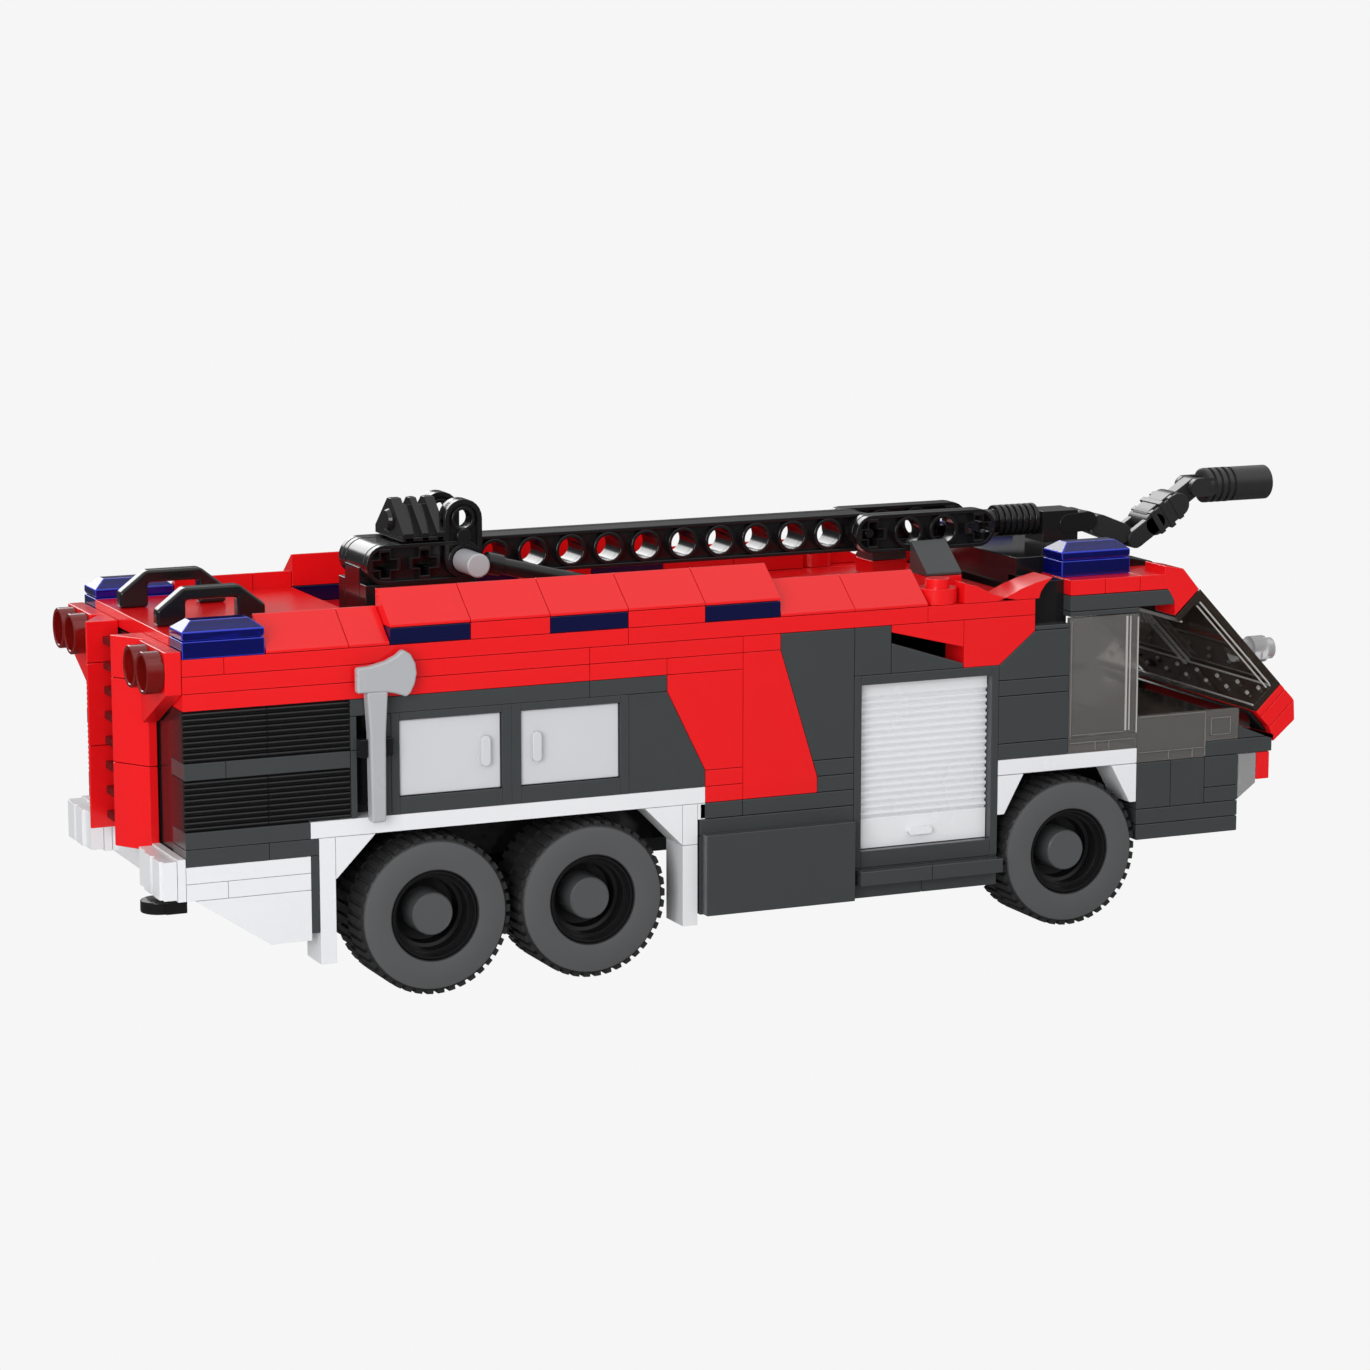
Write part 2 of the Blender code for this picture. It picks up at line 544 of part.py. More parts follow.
def boom():
    x, z = along(BOOM_PIVOT[0]), up(BOOM_PIVOT[1])
    half = BEAM_WIDTH / 2
    fork = half + PLAY, 2 * STUD / 2
    base = prism("boom_base", "black", xz(box((5.4, 14), (7.3, 18.4))), -STUD, STUD)
    for side_name, side in SIDES:
        cheek = (xz([(5.4, 14), (8.5, 14)]) + circle((x, up(20)), STUD / 2, 8, 0.0, math.pi)
                 + xz([(7.5, 18.4), (5.4, 18.4)]))
        add(base, prism(f"cheek_{side_name}", "black", cheek, side * fork[0], side * fork[1], "y", 0.1))
        for hole, height in (("pin", z), ("top", up(20))):
            cut(base, rod(f"{hole}_hole_{side_name}", "black", (x, side * (fork[0] - 1.0), height),
                          (x, side * (fork[1] + 1.0), height), BEAM_HOLE, 16))
    add(base, prism("boom_bracket", "black", xz([(5.9, 18.2), (7.2, 18.2), (7.2, 20.9), (6.2, 20.9)]),
                    -STUD, STUD, "y", 0.2))
    pin = rod("boom_pin", "light_grey", (x, -2 * STUD, z), (x, 2 * STUD, z), BEAM_HOLE - PLAY, 16)
    add(pin, rod("lift_strut", "black", (x, STRUT_Y, z), (along(13.0), STRUT_Y, up(14.0) + 1.9), 1.6, 12))

    pivot = joint_frame("boom_pivot", (x, 0.0, z))
    main = beam("boom_beam", BOOM_PIVOT[0], BEAM_LAST, -half, half, range(8, 19))
    first, last = FORK_HOLES
    forks = [beam(f"fork_{side_name}", first, last, *sorted((side * fork[0], side * fork[1])), (20, 21))
             for side_name, side in SIDES]
    pins = [rod(f"fork_pin_{n}", "black", (along(n), -STUD + 0.2, z), (along(n), STUD - 0.2, z),
                BEAM_HOLE - 0.25, 16) for n in (first, last)]
    hose = turned("boom_hose", "black", [(0.0, 2.6), (7.0, 2.6), (7.0, 3.2), (16.5, 3.2)],
                  (along(last) + 1.0, 0.0, z), "x", 16)
    tip = prism("boom_tip", "black", xz(box((24.0, 16.0), (25.2, 18.1))), -half, half)
    add(main, *forks, *pins, hose, tip)
    ears(main, *xz([(24.9, 17.2), LINK_JOINT]))
    hang(main, pivot)

    link_pivot = joint_frame("link_pivot", (along(LINK_JOINT[0]), 0.0, up(LINK_JOINT[1])))
    outline = capsule(*xz([LINK_JOINT, ELBOW]), HINGE_RADIUS, 6)
    link = prism("boom_link", "black", outline, -TONGUE, TONGUE, "y", 0)
    hang(link, link_pivot)
    hang(link_pivot, pivot)

    arm_pivot = joint_frame("arm_pivot", (along(ELBOW[0]), 0.0, up(ELBOW[1])))
    start, end = (Vector(p) for p in xz([ELBOW, WRIST]))
    step = (end - start).normalized()
    lower, upper = start + step * 6.0, end - step * 6.0
    arm = prism("boom_arm", "black", capsule(lower, upper, 2.6, 6), -half, half, "y", 0)
    ears(arm, lower, start)
    add(arm, prism("arm_tongue", "black", capsule(upper, end, HINGE_RADIUS, 6), -TONGUE, TONGUE, "y", 0))
    hang(arm, arm_pivot)
    hang(arm_pivot, link_pivot)

    nozzle_pivot = joint_frame("nozzle_pivot", (end.x, 0.0, end.y))
    tip_x = NOZZLE_TIP - CENTRE
    root = end.x + 4.0
    profile = [(tip_x - 8.0, 2.4), (tip_x, 2.4), (tip_x, NOZZLE_RADIUS), (root, NOZZLE_RADIUS)]
    nozzle = turned("nozzle", "black", profile, (0.0, 0.0, end.y), "x", 20)
    ears(nozzle, (end.x + 5.0, end.y), (end.x, end.y))
    hang(nozzle, nozzle_pivot)
    hang(nozzle_pivot, arm_pivot)


def ears(piece, start, end):
    """Two ears that hold a tongue between them."""
    for side_name, side in SIDES:
        add(piece, prism(f"{piece.name}_ear_{side_name}", "black", capsule(start, end, HINGE_RADIUS, 6),
                         side * (TONGUE + PLAY), side * (BEAM_WIDTH / 2), "y", 0))


for old in list(bpy.data.objects):
    bpy.data.objects.remove(old, do_unlink=True)
chassis()
wheels()
body_sides()
body_middle()
cab()
boom()
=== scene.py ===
"""Looks of a toy airport fire truck made of building bricks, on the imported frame."""
import math

import bmesh
import bpy
from mathutils import Matrix, Vector


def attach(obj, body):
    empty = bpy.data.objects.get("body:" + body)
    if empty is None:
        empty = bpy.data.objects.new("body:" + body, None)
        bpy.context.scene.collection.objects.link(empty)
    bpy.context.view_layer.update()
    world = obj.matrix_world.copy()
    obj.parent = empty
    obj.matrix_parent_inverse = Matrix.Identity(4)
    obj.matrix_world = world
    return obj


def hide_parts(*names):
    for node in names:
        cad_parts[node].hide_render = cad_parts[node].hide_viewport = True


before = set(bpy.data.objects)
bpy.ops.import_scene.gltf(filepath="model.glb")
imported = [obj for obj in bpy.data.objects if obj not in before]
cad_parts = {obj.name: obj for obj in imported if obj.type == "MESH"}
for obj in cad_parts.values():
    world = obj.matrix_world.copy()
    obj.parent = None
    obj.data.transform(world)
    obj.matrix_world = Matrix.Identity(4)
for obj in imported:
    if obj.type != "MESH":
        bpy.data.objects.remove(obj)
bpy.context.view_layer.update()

# ---- chassis -----------------------------------------------------------------------------------
# Long black base of stacked plates that carries the axles.  Bricks sit on an 8 mm grid and one
# plate is 3.2 mm high, so places along the truck count in studs and heights in plates.
MM = 0.001
STUD, PLATE = 8, 3.2
REAR_END, FLOOR_LEVEL = -121, 22.2


def along(studs):
    return studs * STUD + REAR_END


def up(plates):
    return plates * PLATE + FLOOR_LEVEL


def grid(outline):
    return [(along(x), up(z)) for x, z in outline]


def rect(x0, x1, z0, z1):
    return [(x0, z0), (x1, z0), (x1, z1), (x0, z1)]


def moulded(name, colour, shade, gloss, clear=0.0):
    """Injection-moulded plastic: a faint cloud in its colour, a faint ripple and uneven gloss."""
    made = bpy.data.materials.new(name)
    made.use_nodes = True
    nodes, links = made.node_tree.nodes, made.node_tree.links
    shader = nodes["Principled BSDF"]
    place = nodes.new("ShaderNodeTexCoord")
    cloud = nodes.new("ShaderNodeTexNoise")
    cloud.inputs["Scale"].default_value = 90.0
    cloud.inputs["Detail"].default_value = 3.0
    links.new(place.outputs["Object"], cloud.inputs["Vector"])
    tint = nodes.new("ShaderNodeMix")
    tint.data_type = "RGBA"
    tint.inputs[6].default_value = (*colour, 1.0)
    tint.inputs[7].default_value = (*[c * shade for c in colour], 1.0)
    links.new(cloud.outputs["Fac"], tint.inputs[0])
    links.new(tint.outputs[2], shader.inputs["Base Color"])
    sheen = nodes.new("ShaderNodeMapRange")
    sheen.inputs["To Min"].default_value = gloss * 0.8
    sheen.inputs["To Max"].default_value = gloss * 1.25
    links.new(cloud.outputs["Fac"], sheen.inputs["Value"])
    links.new(sheen.outputs["Result"], shader.inputs["Roughness"])
    ripple = nodes.new("ShaderNodeTexNoise")
    ripple.inputs["Scale"].default_value = 260.0
    links.new(place.outputs["Object"], ripple.inputs["Vector"])
    bump = nodes.new("ShaderNodeBump")
    bump.inputs["Strength"].default_value = 0.0 if clear else 0.04
    bump.inputs["Distance"].default_value = 0.0002
    links.new(ripple.outputs["Fac"], bump.inputs["Height"])
    links.new(bump.outputs["Normal"], shader.inputs["Normal"])
    shader.inputs["IOR"].default_value = 1.5
    shader.inputs["Transmission Weight"].default_value = clear
    return made


def brick(mesh, outline, low, high, axis="y", gap=0.05):
    """Adds a brick to a mesh: an outline in millimetres pushed along an axis, a hair smaller."""
    places = {"y": lambda a, b, t: (a, t, b), "x": lambda a, b, t: (t, a, b),
              "z": lambda a, b, t: (a, b, t)}[axis]
    low, high = min(low, high) + gap, max(low, high) - gap
    area = sum(a[0] * b[1] - b[0] * a[1] for a, b in zip(outline, outline[1:] + outline[:1]))
    turn = 1.0 if area > 0 else -1.0
    points = []
    for i, here in enumerate(outline):
        here = Vector(here)
        into = (here - Vector(outline[i - 1])).normalized()
        out = (Vector(outline[(i + 1) % len(outline)]) - here).normalized()
        mitre = Vector((-into.y - out.y, into.x + out.x)) * turn / (1.0 + into.dot(out))
        points.append(here + mitre * gap)
    rings = [[mesh.verts.new([c * MM for c in places(p.x, p.y, t)]) for p in points]
             for t in (low, high)]
    mesh.faces.new(rings[0])
    mesh.faces.new(list(reversed(rings[1])))
    for i in range(len(points)):
        j = (i + 1) % len(points)
        mesh.faces.new((rings[0][i], rings[1][i], rings[1][j], rings[0][j]))


def spun(mesh, profile, centre, axis="y", sides=32, ring=False):
    """Adds a turned shape: (distance, radius) points about an axis; a ring closes on itself."""
    turns = {"x": Matrix.Rotation(math.pi / 2, 4, "Y"), "y": Matrix.Rotation(-math.pi / 2, 4, "X"),
             "z": Matrix.Identity(4)}
    toward = turns[axis] if isinstance(axis, str) else axis
    loops = []
    for i in range(sides):
        turn = 2 * math.pi * i / sides
        loops.append([mesh.verts.new((toward @ Vector((r * math.cos(turn), r * math.sin(turn), t))
                                      + Vector(centre)) * MM) for t, r in profile])
    last = len(profile) if ring else len(profile) - 1
    for i in range(sides):
        n = (i + 1) % sides
        for j in range(last):
            k = (j + 1) % len(profile)
            mesh.faces.new((loops[i][j], loops[n][j], loops[n][k], loops[i][k]))
    if not ring:
        mesh.faces.new([loop[0] for loop in loops])
        mesh.faces.new([loop[-1] for loop in reversed(loops)])


def fitted(name, mesh, finish, body="body", nodes=(), bevel=0.18, glint_finish=None):
    """Turns a mesh into a piece with softly rounded edges that rides on its body."""
    bmesh.ops.recalc_face_normals(mesh, faces=mesh.faces)
    data = bpy.data.meshes.new(name)
    mesh.to_mesh(data)
    mesh.free()
    data.materials.append(finish)
    piece = bpy.data.objects.new(name, data)
    bpy.context.scene.collection.objects.link(piece)
    if bevel:
        edge = piece.modifiers.new("rounded edges", "BEVEL")
        edge.width = bevel * MM
        edge.segments = 2
        edge.limit_method = "ANGLE"
        edge.angle_limit = math.radians(32)
        edge.harden_normals = True
        # an optional brighter finish on the rounded edges: painted glints
        if glint_finish:
            data.materials.append(glint_finish)
            edge.material = 1
    for face in data.polygons:
        face.use_smooth = True
    if not bevel:
        data.set_sharp_from_angle(angle=math.radians(35))
    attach(piece, body)
    if nodes:
        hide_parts(*nodes)
    return piece


BLACK = moulded("black_plastic", (0.0105, 0.0105, 0.0115), 0.75, 0.14)
for name in ("chassis", "cab_floor"):
    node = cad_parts[name]
    node.data.materials.clear()
    node.data.materials.append(BLACK)

# ---- wheels ------------------------------------------------------------------------------------
# Six soft rubber tyres on hard plastic hubs; each tyre has two rows of square tread blocks, set
# half a block apart.  One black axle joins the two hubs of a pair.  The tyre's one rubber is drawn
# darker on the tread as painted shade and lighter on a thin sidewall ring as painted light.
# one rubber in two tones: the tread darker as painted shade, the sidewall ring lighter as painted
# light
TREAD_RUBBER_SHADED = moulded("tyre_rubber_painted_shade", (0.02, 0.02, 0.021), 0.85, 0.5)
SIDEWALL_RUBBER_LIT = moulded("tyre_sidewall_painted_light", (0.086, 0.088, 0.091), 0.96, 0.6)
# the hub's flat boss face lighter than its black dish: painted light on one moulding
HUB_BOSS_LIT = moulded("hub_boss_painted_light", (0.088, 0.091, 0.094), 0.95, 0.3)
SIDES = (("right", -1), ("left", 1))
AXLES = (("rear", 6.0), ("middle", 10.0), ("front", 23.0))
WHEEL_HEIGHT = 15.2
TYRE_OUT, TYRE_IN = 33.1, 19.3
TREAD_BLOCKS = 42


def tyre(mesh, side, centre):
    out, inner = TYRE_OUT, TYRE_IN
    wall = [(inner, 8.7), (inner, 13.4), (inner + 0.7, 14.6), (out - 1.1, 14.65), (out - 0.5, 14.3),
            (out - 0.3, 13.9), (out - 0.3, 8.65)]
    spun(mesh, [(side * t, r) for t, r in wall], centre, "y", 96, ring=True)
    middle = (out + inner) / 2
    for row, (low, high) in enumerate(((inner + 0.5, middle - 0.25), (middle + 0.25, out - 0.55))):
        for n in range(TREAD_BLOCKS):
            turn = 2 * math.pi * (n + row / 2) / TREAD_BLOCKS
            about = Matrix.Rotation(turn, 3, "Y")
            corners = []
            for y in (low, high):
                for x, z in ((-0.72, 13.9), (0.72, 13.9), (0.66, 15.15), (-0.66, 15.15)):
                    corners.append(mesh.verts.new((about @ Vector((x, side * y, z))
                                                   + Vector(centre)) * MM))
            for f in ((0, 1, 2, 3), (7, 6, 5, 4), (0, 4, 5, 1), (1, 5, 6, 2), (2, 6, 7, 3),
                      (3, 7, 4, 0)):
                mesh.faces.new([corners[i] for i in f])


def hub(mesh, side, centre):
    profile = [(19.6, 2.0), (19.6, 8.0), (20.6, 8.55), (32.3, 8.55), (32.5, 8.35), (32.5, 8.0),
               (31.4, 7.85), (30.9, 7.5), (30.9, 7.1), (28.6, 6.95), (28.4, 6.3), (26.0, 6.0),
               (25.6, 4.1), (25.6, 0.6)]
    spun(mesh, [(side * t, r) for t, r in profile], centre, "y", 64)


for axle, studs in AXLES:
    centre = (along(studs), 0.0, WHEEL_HEIGHT)
    turning = bmesh.new()
    spun(turning, [(-20.0, 2.3), (20.0, 2.3)], centre, "y", 20)
    for side_name, side in SIDES:
        rubber = bmesh.new()
        tyre(rubber, side, centre)
        fitted(f"tyre_tread_{axle}_{side_name}", rubber, TREAD_RUBBER_SHADED, f"{axle}_wheels",
               [f"tyre_{axle}_{side_name}"], 0)
        hub(turning, side, centre)
        # thin lighter ring on the tyre's face: painted light on the sidewall
        cheek = bmesh.new()
        wall = [(32.6, 8.75), (33.05, 8.9), (33.1, 9.1), (33.1, 13.75), (33.0, 14.0), (32.6, 14.15)]
        spun(cheek, [(side * t, r) for t, r in wall], centre, "y", 96, ring=True)
        fitted(f"tyre_sidewall_{axle}_{side_name}", cheek, SIDEWALL_RUBBER_LIT, f"{axle}_wheels",
               bevel=0)
        # lighter boss face on the black hub: painted light
        boss = bmesh.new()
        spun(boss, [(side * t, r) for t, r in ((25.4, 4.3), (31.3, 4.05), (31.6, 3.8),
                                               (31.6, 0.6))], centre, "y", 48)
        fitted(f"hub_boss_{axle}_{side_name}", boss, HUB_BOSS_LIT, f"{axle}_wheels", bevel=0)
    fitted(f"{axle}_hubs", turning, BLACK, f"{axle}_wheels", [f"{axle}_axle"], 0)

# ---- engine wall -------------------------------------------------------------------------------
# Dark grey plates and black grooved bricks behind the rear wheels' arch, with a narrow recess for
# the axe and two framed cupboards above the arch.  Both sides are alike.
GREY = moulded("dark_grey_plastic", (0.053, 0.058, 0.06), 0.9, 0.2)
HALF_WIDTH = 32
CUPBOARDS = ((5.0, 8.0, 5.2, 7.76), (8.0, 11.0, 8.24, 10.78))
CUPBOARD_SILL, CUPBOARD_HEAD = 5.0, 9.55
BRICK_BACK, BAY_BACK = 7.9, 16.5
GROOVES = 9


def inward(side, depth):
    return side * (HALF_WIDTH - depth)


def wall(mesh, side, outlines, outer=0.0, inner=8.0, gap=0.05):
    for outline in outlines:
        brick(mesh, grid(outline), inward(side, outer), inward(side, inner), "y", gap)


GREY_ENGINE = [rect(0, 2, 2, 3), rect(2, 3.2, 2, 3), rect(0, 3, 3, 4), rect(0, 1, 7, 8),
               rect(1, 4, 7, 8), rect(4, 10, 10, 11), rect(10, 12, 10, 11),
               [(11, 4), (13, 4), (13, 5), (12, 10), (11, 10)], rect(3, 3.2, -2.6, 2)]
for side_name, side in SIDES:
    grey = bmesh.new()
    wall(grey, side, GREY_ENGINE)
    for left, right, door_left, door_right in CUPBOARDS:
        wall(grey, side, [rect(left, door_left, 4, 10), rect(door_right, right, 4, 10),
                          rect(door_left, door_right, 4, CUPBOARD_SILL),
                          rect(door_left, door_right, CUPBOARD_HEAD, 10)], gap=0.0)
        wall(grey, side, [rect(left, right, 4.3, 9.8)], BAY_BACK - 1.4, BAY_BACK)
        wall(grey, side, [rect(left, right, 4.1, 4.4), rect(left, right, 9.7, 10.0)],
             BRICK_BACK, BAY_BACK)
        wall(grey, side, [rect(left, door_left, 4.3, 9.8), rect(door_right, right, 4.3, 9.8)],
             BRICK_BACK, BAY_BACK)
    wall(grey, side, [rect(4, 4.16, 4, 8), rect(4, 4.16, 8, 10), rect(4.84, 5, 4, 10)])
    fitted(f"engine_plates_{side_name}", grey, GREY, "body",
           [f"engine_wall_{side_name}"], 0.1)
    black = bmesh.new()
    for low in (4, 8):
        for start in (0, 2):
            wall(black, side, [rect(start, start + 2, low, low + 3)], 0.7, 8.0, 0.04)
            for n in range(GROOVES):
                bottom = low + 0.04 + n * 0.328
                profile = [(inward(side, 0.75), up(bottom)),
                           (inward(side, 0.15), up(bottom + 0.07)),
                           (inward(side, 0.02), up(bottom + 0.14)),
                           (inward(side, 0.15), up(bottom + 0.21)),
                           (inward(side, 0.75), up(bottom + 0.27))]
                brick(black, profile, along(start) + 0.08, along(start + 2) - 0.08, "x", 0.0)
    wall(black, side, [rect(4, 5, 4, 11)], 6.0, 8.0)
    wall(black, side, [rect(4.16, 4.84, 4, 10)], 5.0, 6.0)
    fitted(f"grille_bricks_{side_name}", black, BLACK, bevel=0.05)

# ---- axe ---------------------------------------------------------------------------------------
# Light grey fire axe, moulded in one, held upright in two black clips on the right side.
PALE = moulded("light_grey_plastic", (0.43, 0.44, 0.46), 0.92, 0.28)
axe = bmesh.new()
blade = grid([(4.06, 12.95), (4.36, 12.98), (4.75, 13.2), (5.02, 13.5), (5.2, 13.85), (5.38, 13.55),
              (5.5, 13.0), (5.53, 12.4), (5.48, 11.8), (5.38, 11.3), (5.28, 11.05), (5.0, 11.3),
              (4.78, 11.42), (4.4, 11.45), (4.06, 11.45)])
brick(axe, blade, -34.9, -33.0, "y", 0.0)
brick(axe, grid([(4.3, 11.5), (4.82, 11.5), (4.76, 9.0), (4.74, 3.8), (4.38, 3.8), (4.36, 9.0)]),
      -34.9, -32.2, "y", 0.0)
fitted("fire_axe", axe, PALE, "body", ["axe"], 0.5)
clips = bmesh.new()
for left, right in ((4.14, 4.36), (4.78, 4.98)):
    brick(clips, grid(rect(left, right, 7.6, 8.7)), -33.9, -27.0)
fitted("axe_clips", clips, BLACK)

# ---- cupboard doors ----------------------------------------------------------------------------
# Four light grey doors, flush in their frames, each with a small moulded grip near the middle.
DOOR = moulded("door_plastic", (0.62, 0.63, 0.65), 0.96, 0.3)
for side_name, side in SIDES:
    for bay, (_, _, left, right), grip in (("rear", CUPBOARDS[0], 7.33),
                                           ("front", CUPBOARDS[1], 8.62)):
        door = bmesh.new()
        brick(door, grid(rect(left, right, CUPBOARD_SILL, CUPBOARD_HEAD)), inward(side, 0.5),
              inward(side, 2.6), "y", 0.12)
        ends = [(along(grip) + 0.95 * math.cos(t), up(7.35) + s * 2.0 + 0.95 * math.sin(t))
                for s, start in ((1, 0.0), (-1, math.pi))
                for t in [start + math.pi * i / 6 for i in range(7)]]
        brick(door, ends, inward(side, -0.7), inward(side, 0.8), "y", 0.0)
        fitted(f"cupboard_door_{bay}_{side_name}", door, DOOR,
               f"door_{bay}_{side_name}", [f"{bay}_door_{side_name}"], 0.25)

# ---- red upper body ----------------------------------------------------------------------------
# Three rows of red plates run round the top; two slanted red columns drop between the cupboards
# and the shutter, and a curved fairing closes the roof edge behind the cab.
RED = moulded("red_plastic", (0.84, 0.007, 0.010), 0.93, 0.2)
RED_WALL = [rect(0, 1, 13, 14), rect(1, 11, 13, 14), rect(11, 19, 13, 14), rect(19, 22, 13, 14),
            rect(0, 10, 12, 13), rect(10, 14, 12, 13), rect(14, 15, 12, 13), rect(0, 10, 11, 12),
            rect(10, 12, 11, 12), rect(12, 14, 11, 12),
            [(12, 11), (14, 11), (14, 5), (13, 5), (12, 10)], rect(13, 14, 4, 5),
            rect(13, 14, 3, 4), [(14, 12), (15, 12), (16, 4), (16, 3), (14, 3)],
            [(18, 13), (20, 13), (20, 11.3), (18, 12.55)],
            [(20, 10), (21, 10), (22, 12), (22, 13), (20, 13)]]
STUD_RADIUS = 2.4
FAIRING_FRONT = [(20.9, 14), (22.1, 14), (22.15, 14.4), (22.28, 14.85), (22.5, 15.3), (22.0, 15.02),
                 (21.6, 14.7), (21.3, 14.38)]
FAIRING_REAR = [(20, 14), (21.45, 14), (21.45, 14.08), (21.1, 14.25), (20.7, 14.6), (20.35, 15.05),
                (20, 15.3)]
for side_name, side in SIDES:
    red = bmesh.new()
    wall(red, side, RED_WALL)
    wall(red, side, [rect(7, 9, 14, 15), rect(11, 13, 14, 15)])
    wall(red, side, [FAIRING_REAR], 0.0, 4.2, 0.03)
    wall(red, side, [FAIRING_FRONT], 0.0, 8.0, 0.03)
    # sloped roof edges, two studs long each, with a thin upright lip at the foot
    for start, end, base in ((2, 4, 14), (4, 5, 14), (5, 7, 15), (7, 9, 15), (9, 11, 15),
                             (11, 13, 15), (13, 15, 15), (15, 17, 14), (17, 19, 14)):
        profile = [(inward(side, 0.0), up(base)), (inward(side, 0.0), up(base) + 0.6),
                   (inward(side, 7.4), up(base + 2)), (inward(side, 8.0), up(base + 2)),
                   (inward(side, 8.0), up(base))]
        brick(red, profile, along(start), along(end), "x", 0.06)
    spot = (along(19.5), inward(side, 4.0), 0.0)
    spun(red, [(up(14), 3.9), (up(15) - 0.1, 3.9)], spot, "z", 32)
    spun(red, [(up(15) - 0.2, STUD_RADIUS), (up(15) + 1.7, STUD_RADIUS)], spot, "z", 24)
    fitted(f"red_bricks_{side_name}", red, RED, "body", [f"upper_body_{side_name}"])

# ---- blue roof plates and beacons --------------------------------------------------------------
# Clear dark blue plastic: plates let into the roof edge, and four beacons, each a plate with a
# flat-topped dome whose edges are cut at a slant.  The domes' rounded edges take a brighter blue:
# painted glints.
BLUE = moulded("clear_blue_plastic", (0.004, 0.007, 0.22), 0.8, 0.06, 0.6)
# brighter blue for the domes' rounded edges: painted glints
BLUE_EDGE_GLINT = moulded("painted_blue_edge_glint", (0.03, 0.05, 0.62), 0.8, 0.1, 0.2)
DEEP_BLUE = moulded("dark_blue_plastic", (0.003, 0.004, 0.045), 0.9, 0.12)


def beacon(name, side, start, depth, base, nodes):
    mesh = bmesh.new()
    low, high = sorted((inward(side, depth), inward(side, depth + 7.8)))
    left, right = along(start) + 0.15, along(start + 2) - 0.15
    brick(mesh, [(left, low), (right, low), (right, high), (left, high)], up(base), up(base + 1),
          "z", 0.0)
    steps = ((1.02, 0.3), (1.2, 0.0), (1.55, 0.0), (2.1, 2.3))
    loops = []
    for height, inset in steps:
        loops.append([mesh.verts.new((x * MM, y * MM, up(base + height) * MM)) for x, y in
                      ((left + inset, low + inset), (right - inset, low + inset),
                       (right - inset, high - inset), (left + inset, high - inset))])
    for a, b in zip(loops, loops[1:]):
        for i in range(4):
            j = (i + 1) % 4
            mesh.faces.new((a[i], a[j], b[j], b[i]))
    mesh.faces.new(list(reversed(loops[0])))
    mesh.faces.new(loops[-1])
    fitted(name, mesh, BLUE, "body", nodes, 0.2, BLUE_EDGE_GLINT)


for side_name, side in SIDES:
    inset = bmesh.new()
    wall(inset, side, [rect(5, 7, 14, 15), rect(9, 11, 14, 15), rect(13, 15, 14, 15)])
    fitted(f"roof_edge_blue_{side_name}", inset, DEEP_BLUE)
    beacon(f"beacon_rear_{side_name}", side, 0.0, 0.1, 14, [f"rear_beacon_{side_name}"])
    beacon(f"beacon_front_{side_name}", side, 23.0, 4.1, 15, [f"front_beacon_{side_name}"])

# ---- middle wall -------------------------------------------------------------------------------
# Dark grey bricks between the arches: a big slanted panel, a locker with a lid that stands proud,
# the frame of the roller shutter and the step below it.
GREY_MIDDLE = [[(15, 12), (15, 13), (17, 13), (17, 5), (15.875, 5)],
               [(15.875, 5), (17, 5), (17, 4), (16, 4)], rect(16, 17, 3, 4), rect(12.85, 14, 2, 3),
               rect(14, 17, 2, 3), rect(12.85, 17, 1, 2), rect(12.85, 17, -3.9, 1),
               rect(17, 18, 10, 13), [(18, 10), (20, 10), (20, 10.3), (18, 11.9)],
               rect(17, 18.9, -3.9, -3), rect(18.9, 21, -3.9, -3), rect(17, 21, -3, -2)]
SHUTTER = (17.2, 20.8, -0.95, 9.4)
for side_name, side in SIDES:
    grey = bmesh.new()
    wall(grey, side, GREY_MIDDLE)
    left, right, low, high = SHUTTER
    wall(grey, side, [rect(17, left, -2, 10), rect(right, 21, -2, 10), rect(left, right, -2, low),
                      rect(left, right, high, 10)], gap=0.0)
    wall(grey, side, [rect(12.87, 16.87, -3.8, 1.2)], -3.1, 0.2)
    wall(grey, side, [rect(17.02, 19, -2.95, -2.02), rect(19, 20.98, -2.95, -2.02)], -3.1, 0.2)
    fitted(f"middle_bricks_{side_name}", grey, GREY, "body",
           [f"middle_body_{side_name}"])

# ---- roller shutters ---------------------------------------------------------------------------
# White panels with moulded slats in place of a shutter that rolls, and a small grip at the foot.
WHITE = moulded("white_plastic", (0.80, 0.81, 0.83), 0.97, 0.25)
SLATS = 18
for side_name, side in SIDES:
    shutter = bmesh.new()
    left, right, low, high = SHUTTER
    flat_top = low + 1.9
    profile = [(inward(side, 4.0), up(low) + 0.1), (inward(side, 1.9), up(low) + 0.1),
               (inward(side, 1.9), up(flat_top))]
    pitch = (up(high - 0.6) - up(flat_top)) / SLATS
    for n in range(SLATS):
        z = up(flat_top) + n * pitch
        profile += [(inward(side, 2.5), z + 0.02), (inward(side, 1.75), z + pitch * 0.55),
                    (inward(side, 1.75), z + pitch * 0.8)]
    profile += [(inward(side, 1.9), up(high - 0.6)), (inward(side, 1.9), up(high) - 0.1),
                (inward(side, 4.0), up(high) - 0.1)]
    brick(shutter, profile, along(left) + 0.12, along(right) - 0.12, "x", 0.0)
    grip = [(along(18.9) + s * 1.9 + 0.75 * math.cos(t), up(-0.05) + 0.75 * math.sin(t))
            for s, start in ((1, -math.pi / 2), (-1, math.pi / 2))
            for t in [start + math.pi * i / 6 for i in range(7)]]
    brick(shutter, grip, inward(side, 0.8), inward(side, 2.2), "y", 0.0)
    fitted(f"roller_shutter_{side_name}", shutter, WHITE, "body", [f"shutter_{side_name}"],
           0.06)

